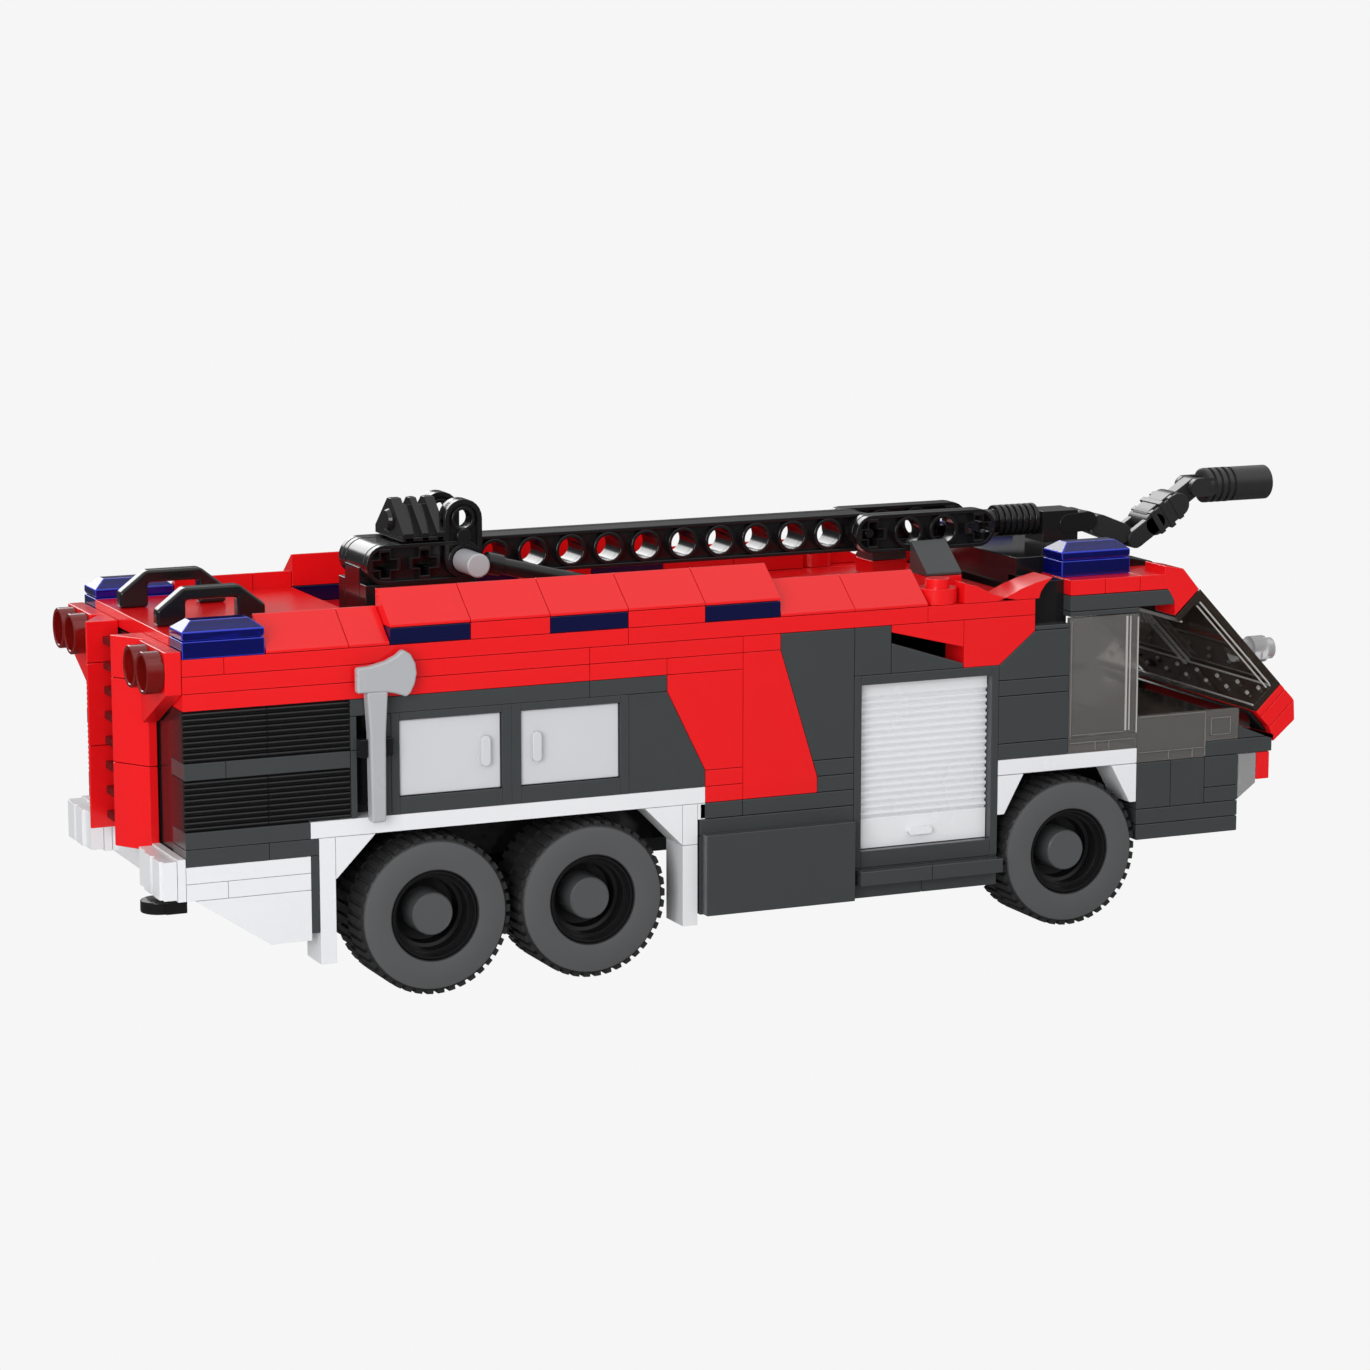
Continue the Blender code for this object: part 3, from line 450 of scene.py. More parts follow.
# ---- white arches and skirts -------------------------------------------------------------------
# White plates and brackets: the rear skirt, a long strip over each arch, upright posts with
# three-cornered gussets, and the marker blocks on the rear corners.
WHITE_REAR = [rect(0, 3, 1, 2), rect(0, 1, 0, 1), rect(1, 3, 0, 1),
              [(0.2, 0), (3, 0), (3, -3), (2, -3)],
              rect(3, 13, 3, 4), rect(3.2, 3.6, -4.5, 3),
              [(3.6, 3), (4.6, 3), (3.62, 0.5), (3.6, 0.5)],
              rect(12.4, 12.8, -4.5, 0.5), rect(12.4, 12.8, 0.5, 3),
              [(11.4, 3), (12.4, 3), (12.4, 0.5)], rect(12.8, 13, 2.0, 3)]
WHITE_FRONT = [rect(21, 25, 3, 4), [(21, 0.5), (21.2, 0.5), (21.75, 3), (21, 3)],
               [(24.25, 3), (24.8, 0.5), (25, 0.5), (25, 3)]]
for side_name, side in SIDES:
    rear = bmesh.new()
    wall(rear, side, WHITE_REAR)
    wall(rear, side, [rect(-0.2, 0, 0, 2.5)], 0.0, 16.0)
    # marker block with two upright ribs on its rear face
    for low, high, front, back in ((0.2, 15.8, -1.6, -4.2), (1.4, 5.8, -4.0, -4.7),
                                   (7.0, 11.4, -4.0, -4.7)):
        brick(rear, [(along(0) + back, up(0.12)), (along(0) + front, up(0.12)),
                     (along(0) + front, up(2.4)), (along(0) + back, up(2.4))],
              inward(side, low), inward(side, high))
    fitted(f"white_rear_{side_name}", rear, WHITE, "body", [f"rear_arch_{side_name}"])
    front = bmesh.new()
    wall(front, side, WHITE_FRONT)
    fitted(f"white_front_{side_name}", front, WHITE, "body", [f"front_arch_{side_name}"])

# ---- rear end ----------------------------------------------------------------------------------
# Two upright red columns of slopes stand on end, with black ladder rungs between them; red sideways
# plates hold the round tail lamps, and a small hitch sticks out below.
LAMP_RED = moulded("clear_red_plastic", (0.30, 0.010, 0.008), 0.75, 0.07, 0.45)
black = bmesh.new()
brick(black, [(-24, up(2)), (24, up(2)), (24, up(13.9)), (-24, up(13.9))], along(0) + 0.2, along(1),
      "x")
RUNGS = 8
for n in range(RUNGS):
    low = 2.6 + 1.5 * n
    brick(black, [(along(0) - 3.3, up(low)), (along(0) + 1, up(low)), (along(0) + 1, up(low + 0.5)),
                  (along(0) - 3.3, up(low + 0.5))], -7.9, 7.9)
fitted("rear_ladder", black, BLACK, "body", ["rear_wall"])
sill = bmesh.new()
brick(sill, grid([(0, 2), (0, 0), (0.2, 0), (2, -3), (2.9, -3), (2.9, 2)]), -24, 24)
fitted("rear_skirt", sill, WHITE, "body", ["rear_sill"])
for side_name, side in SIDES:
    red = bmesh.new()
    for low, high in ((12.0, 14.5), (7.0, 12.0), (2.0, 7.0)):
        column = [(along(0), inward(side, 16)), (along(0) - 1.8, inward(side, 16)),
                  (along(0) - 6.4, inward(side, 23.4)), (along(0) - 6.4, inward(side, 24)),
                  (along(0), inward(side, 24))]
        brick(red, column, up(low), up(high), "z", 0.06)
    fitted(f"rear_slopes_{side_name}", red, RED, "body", [f"rear_column_{side_name}"])
    plate = bmesh.new()
    brick(plate, [(inward(side, 0), up(14.5)), (inward(side, 15.8), up(14.5)),
                  (inward(side, 15.8), up(9.7)),
                  (inward(side, 14.8), up(9.7)), (inward(side, 0), up(12))],
          along(0) - 3.2, along(0), "x")
    fitted(f"lamp_plate_{side_name}", plate, RED)
    lamps = bmesh.new()
    for depth in (4.0, 12.0):
        spun(lamps, [(-3.3, 3.95), (-6.2, 3.95), (-6.35, 3.8), (-6.35, 3.35), (-6.2, 3.2),
                     (-4.0, 3.05),
                     (-4.0, 1.5), (-4.9, 1.3), (-4.9, 0.3)],
             (along(0), inward(side, depth), up(13.2)), "x", 40)
    fitted(f"tail_lamps_round_{side_name}", lamps, LAMP_RED, "body",
           [f"tail_lamps_{side_name}"], 0)
hitch = bmesh.new()
brick(hitch, [(along(0) - 3.4, -30), (along(0) + 0.8, -30), (along(0) + 0.8, -22),
              (along(0) - 3.4, -22)],
      up(-0.82), up(-0.05), "z")
spun(hitch, [(up(-0.8), 3.6), (up(-0.1), 3.6)], (along(0) - 3.3, -26, 0), "z", 24)
fitted("hitch", hitch, BLACK, "body", ["tow_hook"])

# ---- roof --------------------------------------------------------------------------------------
# Red plates with rows of studs form the deck between the sloped edges; two black bar handles stand
# over the engine, and grey slopes carry the boom's far end.
deck = bmesh.new()
brick(deck, grid([(0, 14), (1, 14), (1, 13), (5, 13), (5, 15), (0, 15)]), -24, 24)
for start, end in ((5, 9), (9, 13), (13, 17), (17, 22)):
    brick(deck, grid(rect(start, end, 13, 14)), -24, 24)
# the lift rod lies along the row of studs that is left out
for stud in range(9, 14):
    for row in (-20, -4, 4, 12, 20):
        spun(deck, [(up(14) - 0.2, STUD_RADIUS), (up(14) + 1.6, STUD_RADIUS)],
             (along(stud + 0.5), row, 0), "z", 20)
for side_name, side in SIDES:
    brick(deck, grid(rect(20, 21, 14, 15)), side * 8.2, side * 16)
fitted("roof_plates", deck, RED, "body", ["roof_deck"], 0.15)
for side_name, side in SIDES:
    grip = bmesh.new()
    outline = [(0.15, 15), (0.85, 15), (0.85, 16.45), (2.1, 16.45), (2.1, 15), (2.78, 15),
               (2.78, 15.95), (2.15, 17.2), (0.8, 17.2), (0.15, 15.95)]
    brick(grip, grid(outline), side * 10.5, side * 13.5, "y", 0.0)
    fitted(f"bar_handle_{side_name}", grip, BLACK, "body", [f"roof_handle_{side_name}"],
           0.6)
    rest = bmesh.new()
    brick(rest, [(side * 8.2, up(15)), (side * 8.2, up(17)), (side * 8.8, up(17)),
                 (side * 16, up(15.2)), (side * 16, up(15))], along(20), along(21), "x")
    fitted(f"boom_rest_{side_name}", rest, GREY)

# ---- cab ---------------------------------------------------------------------------------------
# Dark grey side panels, smoky clear windows, a red-edged roof with slanted corner pieces, and a
# windscreen of two moulded panels that leans back over the red nose.  Thin pale strips and dots
# along the window and windscreen edges are painted glints.
SMOKE = moulded("smoky_plastic", (0.40, 0.385, 0.365), 0.9, 0.07, 0.75)
# pale clear finishes for thin strips along the window edges: painted highlights
EDGE_GLINT = moulded("painted_glint_clear_edges", (0.56, 0.545, 0.52), 0.9, 0.1, 0.2)
FAINT_EDGE_GLINT = moulded("painted_faint_glint_clear_edges", (0.27, 0.262, 0.25), 0.9, 0.1, 0.3)
SCREEN = moulded("screen_plastic", (0.13, 0.095, 0.075), 0.9, 0.05, 0.8)
CLEAR = moulded("clear_plastic", (0.85, 0.85, 0.86), 0.97, 0.1, 0.7)
CAB_PANELS = [[(21, 9), (23, 9), (23, 12), (22, 12), (21, 10)], rect(21, 23, 8, 9),
              rect(21, 23, 5, 8), rect(21, 23, 4, 5), rect(22, 23, 12.0, 12.3)]
CAB_FOOT = [rect(25, 26, 0, 3), rect(26, 27, 0, 3), rect(27, 28, 1, 3), rect(27, 28, 0, 1),
            rect(25, 28, -1, 0), rect(25, 28, -2, -1), rect(27, 29, 3, 4),
            [(28, 4), (29, 4), (29, 3.9), (28, 4.9)]]
SCREEN_TOP = Vector((along(26.77), up(13.87)))
SCREEN_TILT = math.radians(46.7)
SCREEN_LENGTH = 28.8
CAB_HALF = 31.8
LINER_HALF = 30.2


def on_screen(down, back):
    """A point so far down the windscreen's slope and so far behind its face."""
    return (SCREEN_TOP.x + down * math.cos(SCREEN_TILT) - back * math.sin(SCREEN_TILT),
            SCREEN_TOP.y - down * math.sin(SCREEN_TILT) - back * math.cos(SCREEN_TILT))


for side_name, side in SIDES:
    panel = bmesh.new()
    wall(panel, side, CAB_PANELS)
    fitted(f"cab_side_{side_name}", panel, GREY, "body", [f"cab_panel_{side_name}"])
    glass = bmesh.new()
    wall(glass, side, [rect(23, 25, 5, 12.6)], 0.15, 1.4, 0.0)
    wall(glass, side, [rect(23, 25, 4, 5), rect(25, 27, 3, 3.6), rect(25, 27, 3.6, 6),
                       rect(27, 28, 4, 6)],
         0.1, 1.45, 0.04)
    fitted(f"side_windows_{side_name}", glass, SMOKE, "body", [f"side_glass_{side_name}"],
           0.12)
    # thin pale strips on the side windows: painted highlights on the panels' edges
    edges = bmesh.new()
    wall(edges, side, [rect(24.61, 24.66, 5.2, 12.5), rect(24.72, 24.75, 5.2, 12.5),
                       rect(24.94, 24.97, 5, 12.4)],
         -0.05, 0.3, 0.0)
    fitted(f"window_edge_glints_{side_name}", edges, EDGE_GLINT, bevel=0)
    faint = bmesh.new()
    wall(faint, side, [rect(23.03, 23.06, 5, 12.4), rect(23.1, 24.6, 5.12, 5.18),
                       rect(23.75, 23.78, 4.1, 4.6),
                       rect(24.15, 24.18, 4.1, 4.6), rect(23.05, 24.9, 4.62, 4.68),
                       rect(25.05, 27, 3.62, 3.68),
                       rect(26.97, 27.0, 3.1, 5.9), rect(25.9, 25.93, 3.1, 3.6),
                       rect(26.6, 26.63, 3.1, 3.6),
                       rect(25.05, 27.0, 5.9, 5.96), rect(27.15, 27.75, 5.45, 5.52),
                       rect(27.15, 27.18, 4.4, 5.45),
                       rect(27.72, 27.75, 4.4, 5.45), rect(27.15, 27.75, 4.38, 4.44)],
         -0.05, 0.3, 0.0)
    fitted(f"window_rib_glints_{side_name}", faint, FAINT_EDGE_GLINT, bevel=0)
    cap = bmesh.new()
    for start in (23, 24, 25):
        brick(cap, grid(rect(start, start + 1, 14, 15)), inward(side, 0), inward(side, 12.4))
    brick(cap, grid([(25.7, 14.4), (26.0, 13.2), (26.02, 12.25), (26.72, 13.87), (26.25, 15.25),
                     (25.7, 15.5)]),
          inward(side, 0), inward(side, 8), "y", 0.02)
    fitted(f"roof_corner_{side_name}", cap, RED, "body", [f"cab_cap_{side_name}"])
front = bmesh.new()
for side_name, side in SIDES:
    wall(front, side, CAB_FOOT)
brick(front, grid(rect(27, 28, -2, 4.8)), -24, 24)
fitted("cab_front_bricks", front, GREY, "body", ["cab_front"])
roof = bmesh.new()
for side_name, side in SIDES:
    wall(roof, side, [rect(23, 26, 13, 14), rect(23, 25, 12.65, 13)], 0.0, 12.5)
fitted("roof_band", roof, GREY)
roof = bmesh.new()
brick(roof, grid([(22.3, 13.1), (26.3, 13.1), (26.3, 15.2), (24.6, 16), (22.3, 16)]), -19.3, 19.3)
for side_name, side in SIDES:
    wall(roof, side, [rect(22, 23.1, 11.6, 14.95)], 3.0, 8.0)
    wall(roof, side, [rect(22.3, 26.2, 13.1, 14.9)], 12.5, 16.0)
fitted("roof_centre", roof, BLACK, "body", ["cab_roof"])
screen = bmesh.new()
last, thick = SCREEN_LENGTH, 1.5
for low, high in ((-CAB_HALF, -0.1), (0.1, CAB_HALF)):
    shape = [on_screen(*p) for p in ((0, 0), (last, 0), (last, 8), (last - thick, 8),
                                     (last - thick, thick), (thick, thick), (thick, 8), (0, 8))]
    brick(screen, shape, low, high, "y", 0.05)
fitted("windscreen_panels", screen, SCREEN, "body", ["windscreen"], 0.15)
# pale strips along the windscreen panels' edges and dots over its studs: painted glints
edges = bmesh.new()
for low, high in ((-CAB_HALF, -0.3), (0.3, CAB_HALF)):
    for near, far in ((low, low + 0.35), (high - 0.35, high)):
        for start, end in ((1.75, 2.05), (2.75, 3.0)):
            brick(edges, [on_screen(*p) for p in ((2, start), (last - 2, start), (last - 2, end),
                                                  (2, end))],
                  near, far, "y", 0.0)
    for down, back in ((last - 1.9, 7.4), (last - 1.9, 1.9), (1.6, 7.4)):
        brick(edges, [on_screen(*p) for p in ((down, back), (down + 0.3, back),
                                              (down + 0.3, back + 0.3),
                                              (down, back + 0.3))], low, high, "y", 0.0)
slope = Matrix.Rotation(math.pi / 2 + SCREEN_TILT, 4, "Y")
for n in range(8):
    for back, beside in ((3.4, -1.2), (5.2, 1.0)):
        x, z = on_screen(last - 1.9, back)
        spun(edges, [(-0.3, 0.42), (0.3, 0.42)], (x, -28 + 8 * n + beside, z), slope, 8)
fitted("windscreen_edge_glints", edges, EDGE_GLINT, bevel=0)
liner = bmesh.new()
brick(liner, [on_screen(*p) for p in ((last - 0.3, 8.15), (last + 5.5, 8.15), (last + 5.5, 9.0),
                                      (last - 0.3, 9.0))],
      -LINER_HALF, LINER_HALF)
brick(liner, grid([(25.1, 3.7), (28.3, 4.2), (27.7, 5.6), (25.1, 5.6)]), -LINER_HALF, LINER_HALF)
fitted("cab_liner", liner, BLACK)
spots = bmesh.new()
for side_name, side in SIDES:
    spun(spots, [(106.0, 2.3), (108.6, 2.3), (108.8, 2.0), (109.6, 2.0), (109.8, 2.75),
                 (113.2, 2.75), (113.4, 2.2),
                 (115.0, 2.2), (115.0, 1.2), (113.6, 1.0)], (0, side * 24, 51.8), "x", 28)
fitted("spot_lamps", spots, CLEAR, bevel=0)
nose = bmesh.new()
for start, end in ((last, last + 1.6), (last + 1.6, last + 4.8)):
    brick(nose, [on_screen(*p) for p in ((start, 0), (end, 0), (end, 8), (start, 8))],
          -CAB_HALF, CAB_HALF)
chin = [on_screen(last + 4.8, 0), (along(29.68), up(4.9)), (along(29.05), up(3.6)),
        on_screen(last + 4.8, 8)]
brick(nose, chin, -CAB_HALF, CAB_HALF, "y", 0.02)
fitted("nose_bricks", nose, RED, "body", ["nose"])
lamps = bmesh.new()
brick(lamps, grid([(28, 3), (28.55, 3), (28.55, 1), (28, 0)]), -CAB_HALF, CAB_HALF)
fitted("headlamp_slab", lamps, CLEAR, "body", ["headlamps"])
bar = bmesh.new()
brick(bar, grid(rect(28.55, 28.95, 1.2, 3)), -CAB_HALF, CAB_HALF)
fitted("bumper_bar", bar, RED, "body", ["bumper"])

# ---- boom --------------------------------------------------------------------------------------
# Black beam with a row of pin holes, pinned between two cheeks on the roof; short fork beams and a
# ribbed hose follow it, and a link, an arm and the round nozzle tilt on clicked joints.
BOOM_LEVEL = up(17.5)
BEAM_HALF = 3.85
PIN_HOLE, HOLE_RIM = 2.5, 3.2
RIM_DEPTH = 1.7


def capsule(start, end, radius, sides=12):
    turn = math.atan2(end[1] - start[1], end[0] - start[0])
    half = math.pi / 2
    return [(centre[0] + radius * math.cos(turn + first + math.pi * i / sides),
             centre[1] + radius * math.sin(turn + first + math.pi * i / sides))
            for centre, first in ((start, half), (end, -half)) for i in range(sides + 1)]


def drilled(piece, name, shapes, low, high):
    """Cuts outlines right through a piece along y."""
    for n, outline in enumerate(shapes):
        tool_mesh = bmesh.new()
        brick(tool_mesh, outline, low - 1, high + 1, "y", 0.0)
        bmesh.ops.recalc_face_normals(tool_mesh, faces=tool_mesh.faces)
        data = bpy.data.meshes.new(f"{name}_{n}")
        tool_mesh.to_mesh(data)
        tool_mesh.free()
        tool = bpy.data.objects.new(f"{name}_{n}", data)
        bpy.context.scene.collection.objects.link(tool)
        cutting = piece.modifiers.new(f"hole {n}", "BOOLEAN")
        cutting.object = tool
        cutting.solver = "EXACT"
        with bpy.context.temp_override(object=piece, active_object=piece):
            bpy.ops.object.modifier_apply(modifier=cutting.name)
        bpy.data.objects.remove(tool)


def ring_points(x, z, radius, sides=28):
    return [(x + radius * math.cos(2 * math.pi * i / sides),
             z + radius * math.sin(2 * math.pi * i / sides))
            for i in range(sides)]


def cross(x, z):
    arm, half = 2.4, 0.9
    return [(x + a, z + b) for a, b in ((half, half), (half, arm), (-half, arm), (-half, half),
                                        (-arm, half),
                                        (-arm, -half), (-half, -half), (-half, -arm), (half, -arm),
                                        (half, -half), (arm, -half), (arm, half))]


def rim(mesh, outer, inner, low, high):
    """A closed band between two outlines with as many points each."""
    loops = [[mesh.verts.new((x * MM, y * MM, z * MM)) for x, z in line]
             for y, line in ((low, outer), (high, outer), (high, inner), (low, inner))]
    for k in range(4):
        one, two = loops[k], loops[(k + 1) % 4]
        for i in range(len(outer)):
            j = (i + 1) % len(outer)
            mesh.faces.new((one[i], one[j], two[j], two[i]))


def lift_beam(name, first, last, low, high, round_holes, cross_holes, body, nodes):
    """A beam whose sides are hollowed between its holes, with a rim round each hole."""
    mesh = bmesh.new()
    start, end = (along(first), BOOM_LEVEL), (along(last), BOOM_LEVEL)
    brick(mesh, capsule(start, end, BEAM_HALF - 0.1), low + 1.6, high - 1.6, "y", 0.0)
    core = fitted(f"{name}_core", mesh, BLACK, body, nodes, 0)
    holes = [ring_points(along(n), BOOM_LEVEL, PIN_HOLE) for n in round_holes]
    holes += [cross(along(n), BOOM_LEVEL) for n in cross_holes]
    drilled(core, f"{name}_hole", holes, low, high)
    core.data.set_sharp_from_angle(angle=math.radians(35))
    rims = bmesh.new()
    bands = ((low, low + RIM_DEPTH), (high - RIM_DEPTH, high))
    for a, b in bands:
        rim(rims, capsule(start, end, BEAM_HALF), capsule(start, end, BEAM_HALF - 0.75), a, b)
    for n in round_holes:
        for a, b in bands:
            spun(rims, [(a, PIN_HOLE), (b, PIN_HOLE), (b, HOLE_RIM), (a, HOLE_RIM)],
                 (along(n), 0, BOOM_LEVEL), "y", 32, ring=True)
    for n in cross_holes:
        outline = cross(along(n), BOOM_LEVEL)
        wide = [(along(n) + (x - along(n)) * 1.3, BOOM_LEVEL + (z - BOOM_LEVEL) * 1.3)
                for x, z in outline]
        for a, b in bands:
            rim(rims, wide, outline, a, b)
    fitted(f"{name}_rims", rims, BLACK, body, bevel=0.2)


lift_beam("boom_main", 8, 19, -3.9, 3.9, range(8, 19), (), "boom", ["boom_beam"])
for side_name, side in SIDES:
    low, high = sorted((side * 4.2, side * 8.0))
    lift_beam(f"fork_{side_name}", 19, 22, low, high, (20, 21), (19, 22), "boom", ())
    lift_beam(f"cheek_{side_name}", 6, 8, low, high, (8,), (6, 7), "body", ())
hose = bmesh.new()
start = along(22) + 2
ribs = [(start, 2.4), (start + 5.6, 2.4)]
x = start + 5.6
while x < along(24.15):
    ribs += [(x, 3.3), (x + 0.9, 3.3), (x + 0.95, 2.75), (x + 1.35, 2.75)]
    x += 1.4
spun(hose, ribs, (0, 0, BOOM_LEVEL), "x", 32)
brick(hose, grid(rect(24.15, 25.2, 16.05, 18.1)), -3.8, 3.8)
for side_name, side in SIDES:
    brick(hose, capsule((along(24.9), up(17.2)), (along(25.5), up(17.3)), 2.0),
          side * 2.1, side * 3.9, "y", 0.0)
spun(hose, [(-6.4, 1.0), (6.4, 1.0)], (along(19), 0, BOOM_LEVEL), "y", 12)
spun(hose, [(-6.4, 1.0), (6.4, 1.0)], (along(22), 0, BOOM_LEVEL), "y", 12)
fitted("boom_hose", hose, BLACK, "boom", bevel=0.12)
base = bmesh.new()
brick(base, grid(rect(5.5, 7.4, 14, 17.3)), -4.2, 4.2)
for side_name, side in SIDES:
    brick(base, grid(rect(5.5, 8.35, 14, 16.35)), side * 4.25, side * 7.85)
brick(base, capsule((along(6), BOOM_LEVEL), (along(7), BOOM_LEVEL), 3.75), -4.15, 4.15, "y", 0.0)
crest = [(-7.9, up(18.8)), (-7.9, up(19.3)), (-1.0, up(21.2)), (1.0, up(21.2)), (7.9, up(19.3)),
         (7.9, up(18.8))]
ridge = [(-7.9, up(18.8)), (-7.9, up(19.05)), (-6.4, up(19.15)), (-0.8, up(20.75)),
         (0.8, up(20.75)), (6.4, up(19.15)), (7.9, up(19.05)), (7.9, up(18.8))]
brick(base, ridge, along(6.5), along(7.5), "x", 0.02)
for start, end in ((6.46, 6.74), (6.94, 7.12), (7.32, 7.58)):
    brick(base, crest, along(start), along(end), "x", 0.02)
spun(base, [(along(6.36), 1.9), (along(6.47), 2.3)], (0, 0, up(19.85)), "x", 20)
PIVOT = along(8)
MOUNT_TOP, MOUNT_HOLE = up(20.0), 1.75
for side_name, side in SIDES:
    post = capsule((PIVOT, BOOM_LEVEL + 0.4), (PIVOT, MOUNT_TOP), BEAM_HALF)
    web = bmesh.new()
    brick(web, post, side * 5.6, side * 7.0, "y", 0.0)
    web = fitted(f"mount_post_{side_name}", web, BLACK, bevel=0)
    drilled(web, f"mount_hole_{side_name}", [ring_points(PIVOT, MOUNT_TOP, MOUNT_HOLE)], -8, 8)
    low, high = sorted((side * 4.25, side * 7.95))
    rim(base, post, capsule((PIVOT, BOOM_LEVEL + 0.4), (PIVOT, MOUNT_TOP), 2.9), low, high)
    spun(base, [(side * 4.3, MOUNT_HOLE), (side * 4.3, 2.4), (side * 7.9, 2.4),
                (side * 7.9, MOUNT_HOLE)], (PIVOT, 0, MOUNT_TOP), "y", 24, ring=True)
    spun(base, [(side * 6.9, 1.5), (side * 8.3, 1.5)], (PIVOT, 0, up(18.95)), "y", 20)
fitted("boom_mount", base, BLACK, "body", ["boom_base"], 0.15)
pin = bmesh.new()
spun(pin, [(-15.8, 2.05), (-15.6, 2.3), (-8.0, 2.3), (-7.9, 1.9), (8.0, 1.9), (8.1, 2.3),
           (15.6, 2.3), (15.8, 2.05)],
     (PIVOT, 0, BOOM_LEVEL), "y", 32)
fitted("pivot_pin", pin, PALE, "body", ["boom_pin"], 0)
strut = bmesh.new()
lower, upper = Vector((along(13.0), -12.0, up(14) + 1.9)), Vector((along(8.35), -12.0, BOOM_LEVEL))
aim = (lower - upper).to_track_quat("Z", "Y").to_matrix().to_4x4()
length = (lower - upper).length
spun(strut, [(0, 2.1), (3.2, 2.1), (3.3, 1.6), (length, 1.6)], upper, aim, 24)
fitted("lift_rod", strut, BLACK, bevel=0)
# a lighter black for the link, arm and nozzle standing in for their reflections: painted sheen; the
# rougher gloss is their own
SHEENED_BLACK = moulded("satin_black_painted_sheen", (0.030, 0.030, 0.031), 0.7, 0.26)
link = bmesh.new()
brick(link, capsule(*grid([(25.5, 17.3), (26.95, 15.9)]), 1.95), -1.75, 1.75, "y", 0.0)
brick(link, capsule(*grid([(25.9, 16.95), (26.55, 16.3)]), 2.2), -3.3, 3.3, "y", 0.0)
fitted("tilt_link", link, SHEENED_BLACK, "link", ["boom_link"], 0.2)
arm = bmesh.new()
foot, head = (Vector(p) for p in grid([(26.95, 15.9), (28.85, 19.0)]))
step = (head - foot).normalized()
for side_name, side in SIDES:
    brick(arm, capsule(foot, foot + step * 6, 1.95), side * 2.1, side * 3.85, "y", 0.0)
brick(arm, capsule(foot + step * 5.5, head - step * 6, 2.5), -3.85, 3.85, "y", 0.0)
brick(arm, capsule(foot + step * 6.5, head - step * 6.5, 2.9), -2.9, 2.9, "y", 0.0)
brick(arm, capsule(head - step * 6, head, 1.95), -1.75, 1.75, "y", 0.0)
# three clicked ribs across the arm: place along it and half height
for start, half in ((5.4, 2.75), (8.1, 3.1), (10.6, 2.75)):
    a, b = foot + step * start, foot + step * (start + 1.3)
    out = Vector((-step.y, step.x)) * half
    brick(arm, [a - out, b - out, b + out, a + out], -4.1, 4.1, "y", 0.0)
fitted("tilt_arm", arm, SHEENED_BLACK, "arm", ["boom_arm"], 0.2)
tip = bmesh.new()
for side_name, side in SIDES:
    brick(tip, capsule(head, head + Vector((2.8, 0)), 1.95), side * 2.1, side * 3.4, "y", 0.0)
profile = [(head.x + 2.5, 1.8), (head.x + 2.5, 3.2)]
x = head.x + 2.8
for n in range(4):
    profile += [(x, 3.65), (x + 0.9, 3.65), (x + 1.0, 3.2), (x + 1.5, 3.2)]
    x += 1.6
profile += [(x, 3.6), (127.7, 3.6), (127.9, 3.45), (127.9, 2.6), (120.0, 2.5), (120.0, 0.5)]
spun(tip, profile, (0, 0, head.y), "x", 40)
fitted("water_nozzle", tip, SHEENED_BLACK, "nozzle", ["nozzle"], 0)

# ---- studio ------------------------------------------------------------------------------------
# Plain pale floor and surround, a broad soft lamp beside the truck and a faint one overhead.  A
# window on the far side and a dark floor are there for gloss alone.
PAPER = 0.922
FLOOR_MIRRORED = 0.10
WINDOW_TOWARD, WINDOW_LEVEL = (-0.05, 0.88, 0.45), 4.0
world = bpy.data.worlds.new("studio")
bpy.context.scene.world = world
world.use_nodes = True
nodes, links = world.node_tree.nodes, world.node_tree.links
surround = nodes["Background"]
rays = nodes.new("ShaderNodeLightPath")
sky = nodes.new("ShaderNodeTexCoord")
split = nodes.new("ShaderNodeSeparateXYZ")
links.new(sky.outputs["Generated"], split.inputs[0])


def ramp(value, low, high, dark, bright):
    """A smooth rise from a dark to a bright level between two values."""
    rise = nodes.new("ShaderNodeMapRange")
    rise.interpolation_type = "SMOOTHSTEP"
    rise.inputs["From Min"].default_value = low
    rise.inputs["From Max"].default_value = high
    rise.inputs["To Min"].default_value = dark
    rise.inputs["To Max"].default_value = bright
    links.new(value, rise.inputs["Value"])
    return rise.outputs["Result"]


plain_sky = ramp(split.outputs["Z"], -0.3, 0.8, 0.60, 0.76)
gloss_sky = ramp(split.outputs["Z"], 0.0, 0.62, 0.10, 0.85)
shine = nodes.new("ShaderNodeMix")
links.new(rays.outputs["Is Glossy Ray"], shine.inputs[0])
links.new(plain_sky, shine.inputs[2])
facing = nodes.new("ShaderNodeVectorMath")
facing.operation = "DOT_PRODUCT"
facing.inputs[1].default_value = Vector(WINDOW_TOWARD).normalized()
links.new(sky.outputs["Generated"], facing.inputs[0])
window = ramp(facing.outputs["Value"], 0.93, 0.97, 0.0, WINDOW_LEVEL)
lit = nodes.new("ShaderNodeMath")
links.new(gloss_sky, lit.inputs[0])
links.new(window, lit.inputs[1])
links.new(lit.outputs[0], shine.inputs[3])
seen = nodes.new("ShaderNodeMath")
seen.operation = "MAXIMUM"
links.new(rays.outputs["Is Camera Ray"], seen.inputs[0])
links.new(rays.outputs["Is Transmission Ray"], seen.inputs[1])
level = nodes.new("ShaderNodeMix")
level.inputs[3].default_value = PAPER
links.new(seen.outputs[0], level.inputs[0])
links.new(shine.outputs[0], level.inputs[2])
links.new(level.outputs[0], surround.inputs["Color"])
floor_mesh = bmesh.new()
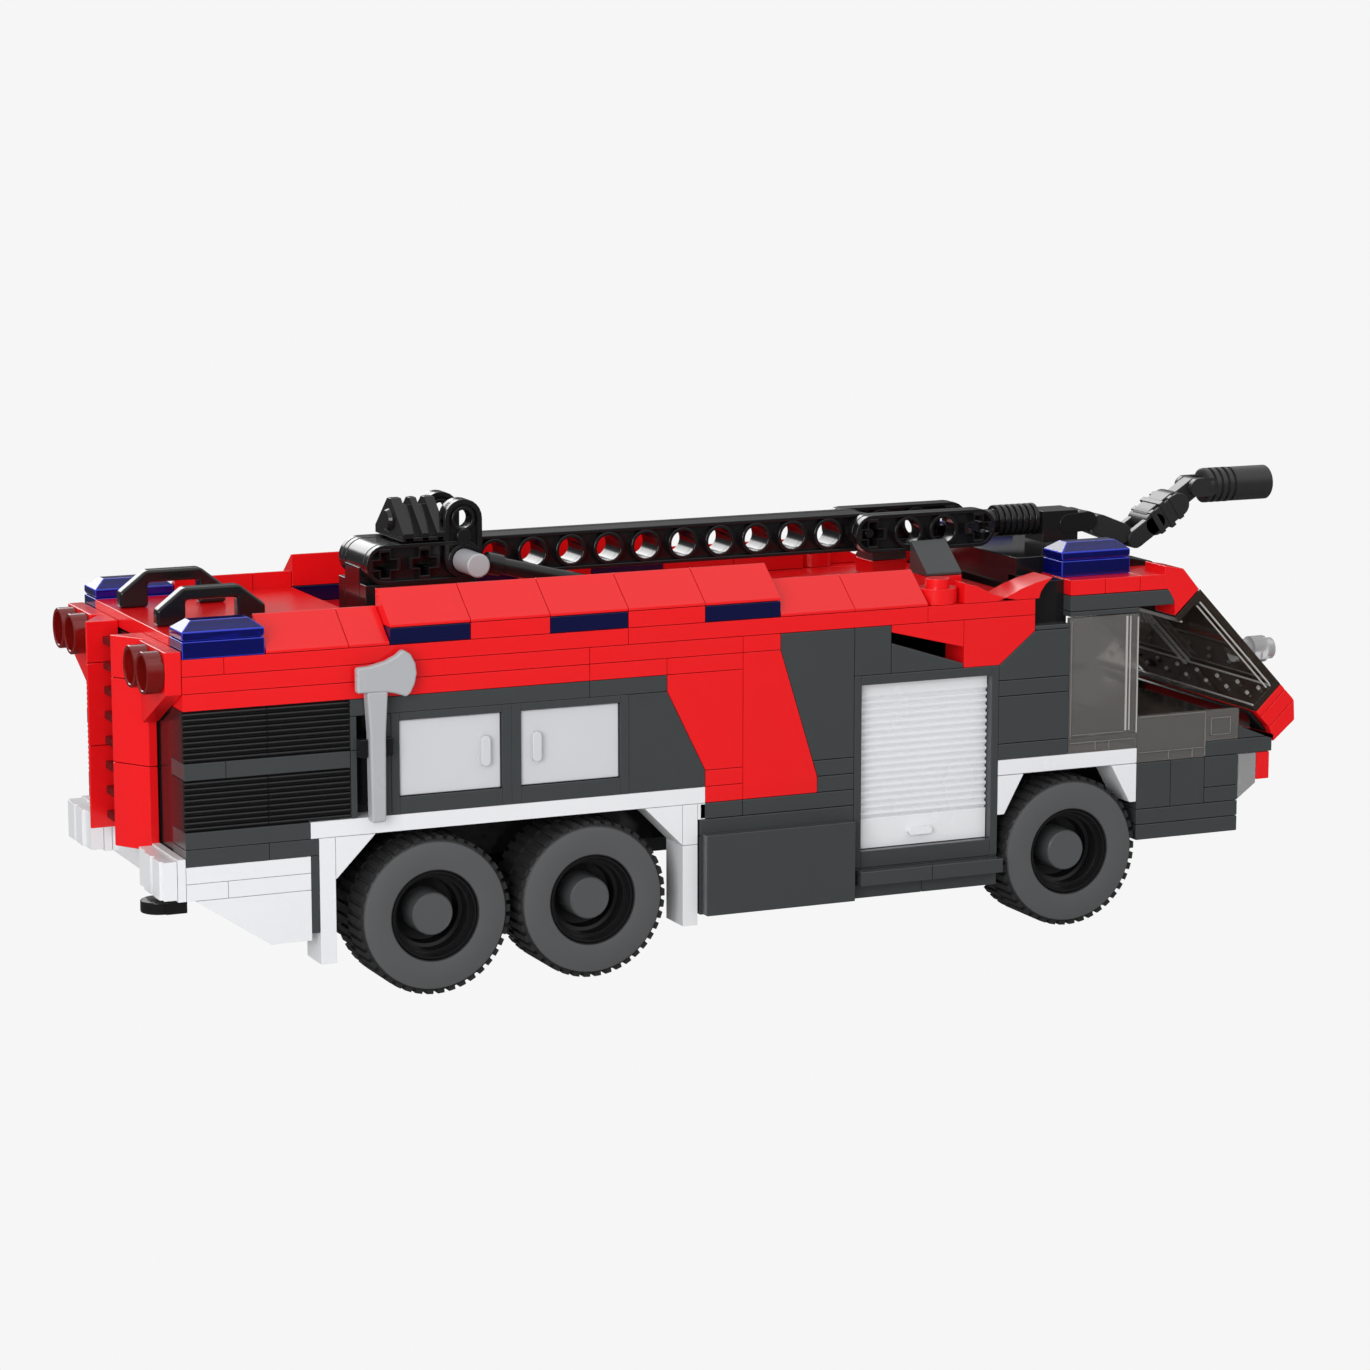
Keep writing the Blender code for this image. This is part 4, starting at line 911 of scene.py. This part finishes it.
bmesh.ops.create_grid(floor_mesh, x_segments=1, y_segments=1, size=6.0)
floor_data = bpy.data.meshes.new("floor")
floor_mesh.to_mesh(floor_data)
floor_mesh.free()
floor = bpy.data.objects.new("floor", floor_data)
floor.location.z = -0.0002
bpy.context.scene.collection.objects.link(floor)
paper = bpy.data.materials.new("paper")
paper.use_nodes = True
nodes, links = paper.node_tree.nodes, paper.node_tree.links
nodes["Principled BSDF"].inputs["Base Color"].default_value = (0.8, 0.8, 0.8, 1)
nodes["Principled BSDF"].inputs["Roughness"].default_value = 1.0
nodes["Principled BSDF"].inputs["Specular IOR Level"].default_value = 0.0
glow = nodes.new("ShaderNodeEmission")
glow.inputs["Color"].default_value = (PAPER, PAPER, PAPER, 1)
rays = nodes.new("ShaderNodeLightPath")
mixed = nodes.new("ShaderNodeMixShader")
links.new(rays.outputs["Is Camera Ray"], mixed.inputs[0])
links.new(nodes["Principled BSDF"].outputs[0], mixed.inputs[1])
links.new(glow.outputs[0], mixed.inputs[2])
dim = nodes.new("ShaderNodeEmission")
dim.inputs["Color"].default_value = (FLOOR_MIRRORED, FLOOR_MIRRORED, FLOOR_MIRRORED, 1)
mirrored = nodes.new("ShaderNodeMixShader")
links.new(rays.outputs["Is Glossy Ray"], mirrored.inputs[0])
links.new(mixed.outputs[0], mirrored.inputs[1])
links.new(dim.outputs[0], mirrored.inputs[2])
links.new(mirrored.outputs[0], nodes["Material Output"].inputs["Surface"])
floor_data.materials.append(paper)
for name, place, size, power in (("overhead lamp", (-0.1, -0.35, 0.9), 0.7, 0.6),
                                 ("side lamp", (-0.9, -0.9, 0.35), 0.6, 8.0)):
    lamp = bpy.data.lights.new(name, "AREA")
    lamp.size = size
    lamp.energy = power
    holder = bpy.data.objects.new(name, lamp)
    holder.location = place
    holder.rotation_euler = (Vector((0.0, 0.0,
                                     0.04)) - Vector(place)).to_track_quat("-Z", "Y").to_euler()
    bpy.context.scene.collection.objects.link(holder)

# ---- camera ------------------------------------------------------------------------------------
# Seen from the right rear quarter, a little above the roof, through a long lens; the two angles
# turn it about the upright axis and raise it.
TURN, RAISE = -0.423208, 0.175732
back = Vector((math.sin(TURN) * math.cos(RAISE), -math.cos(TURN) * math.cos(RAISE),
               math.sin(RAISE)))
camera = bpy.data.objects.new("camera", bpy.data.cameras.new("camera"))
camera.data.lens = 104.79
camera.data.sensor_width = 36.0
camera.location = (-0.32948, -0.71615, 0.18844)
camera.rotation_euler = (-back).to_track_quat("-Z", "Y").to_euler()
bpy.context.scene.collection.objects.link(camera)
bpy.context.scene.camera = camera
bpy.context.scene.view_settings.view_transform = "Standard"
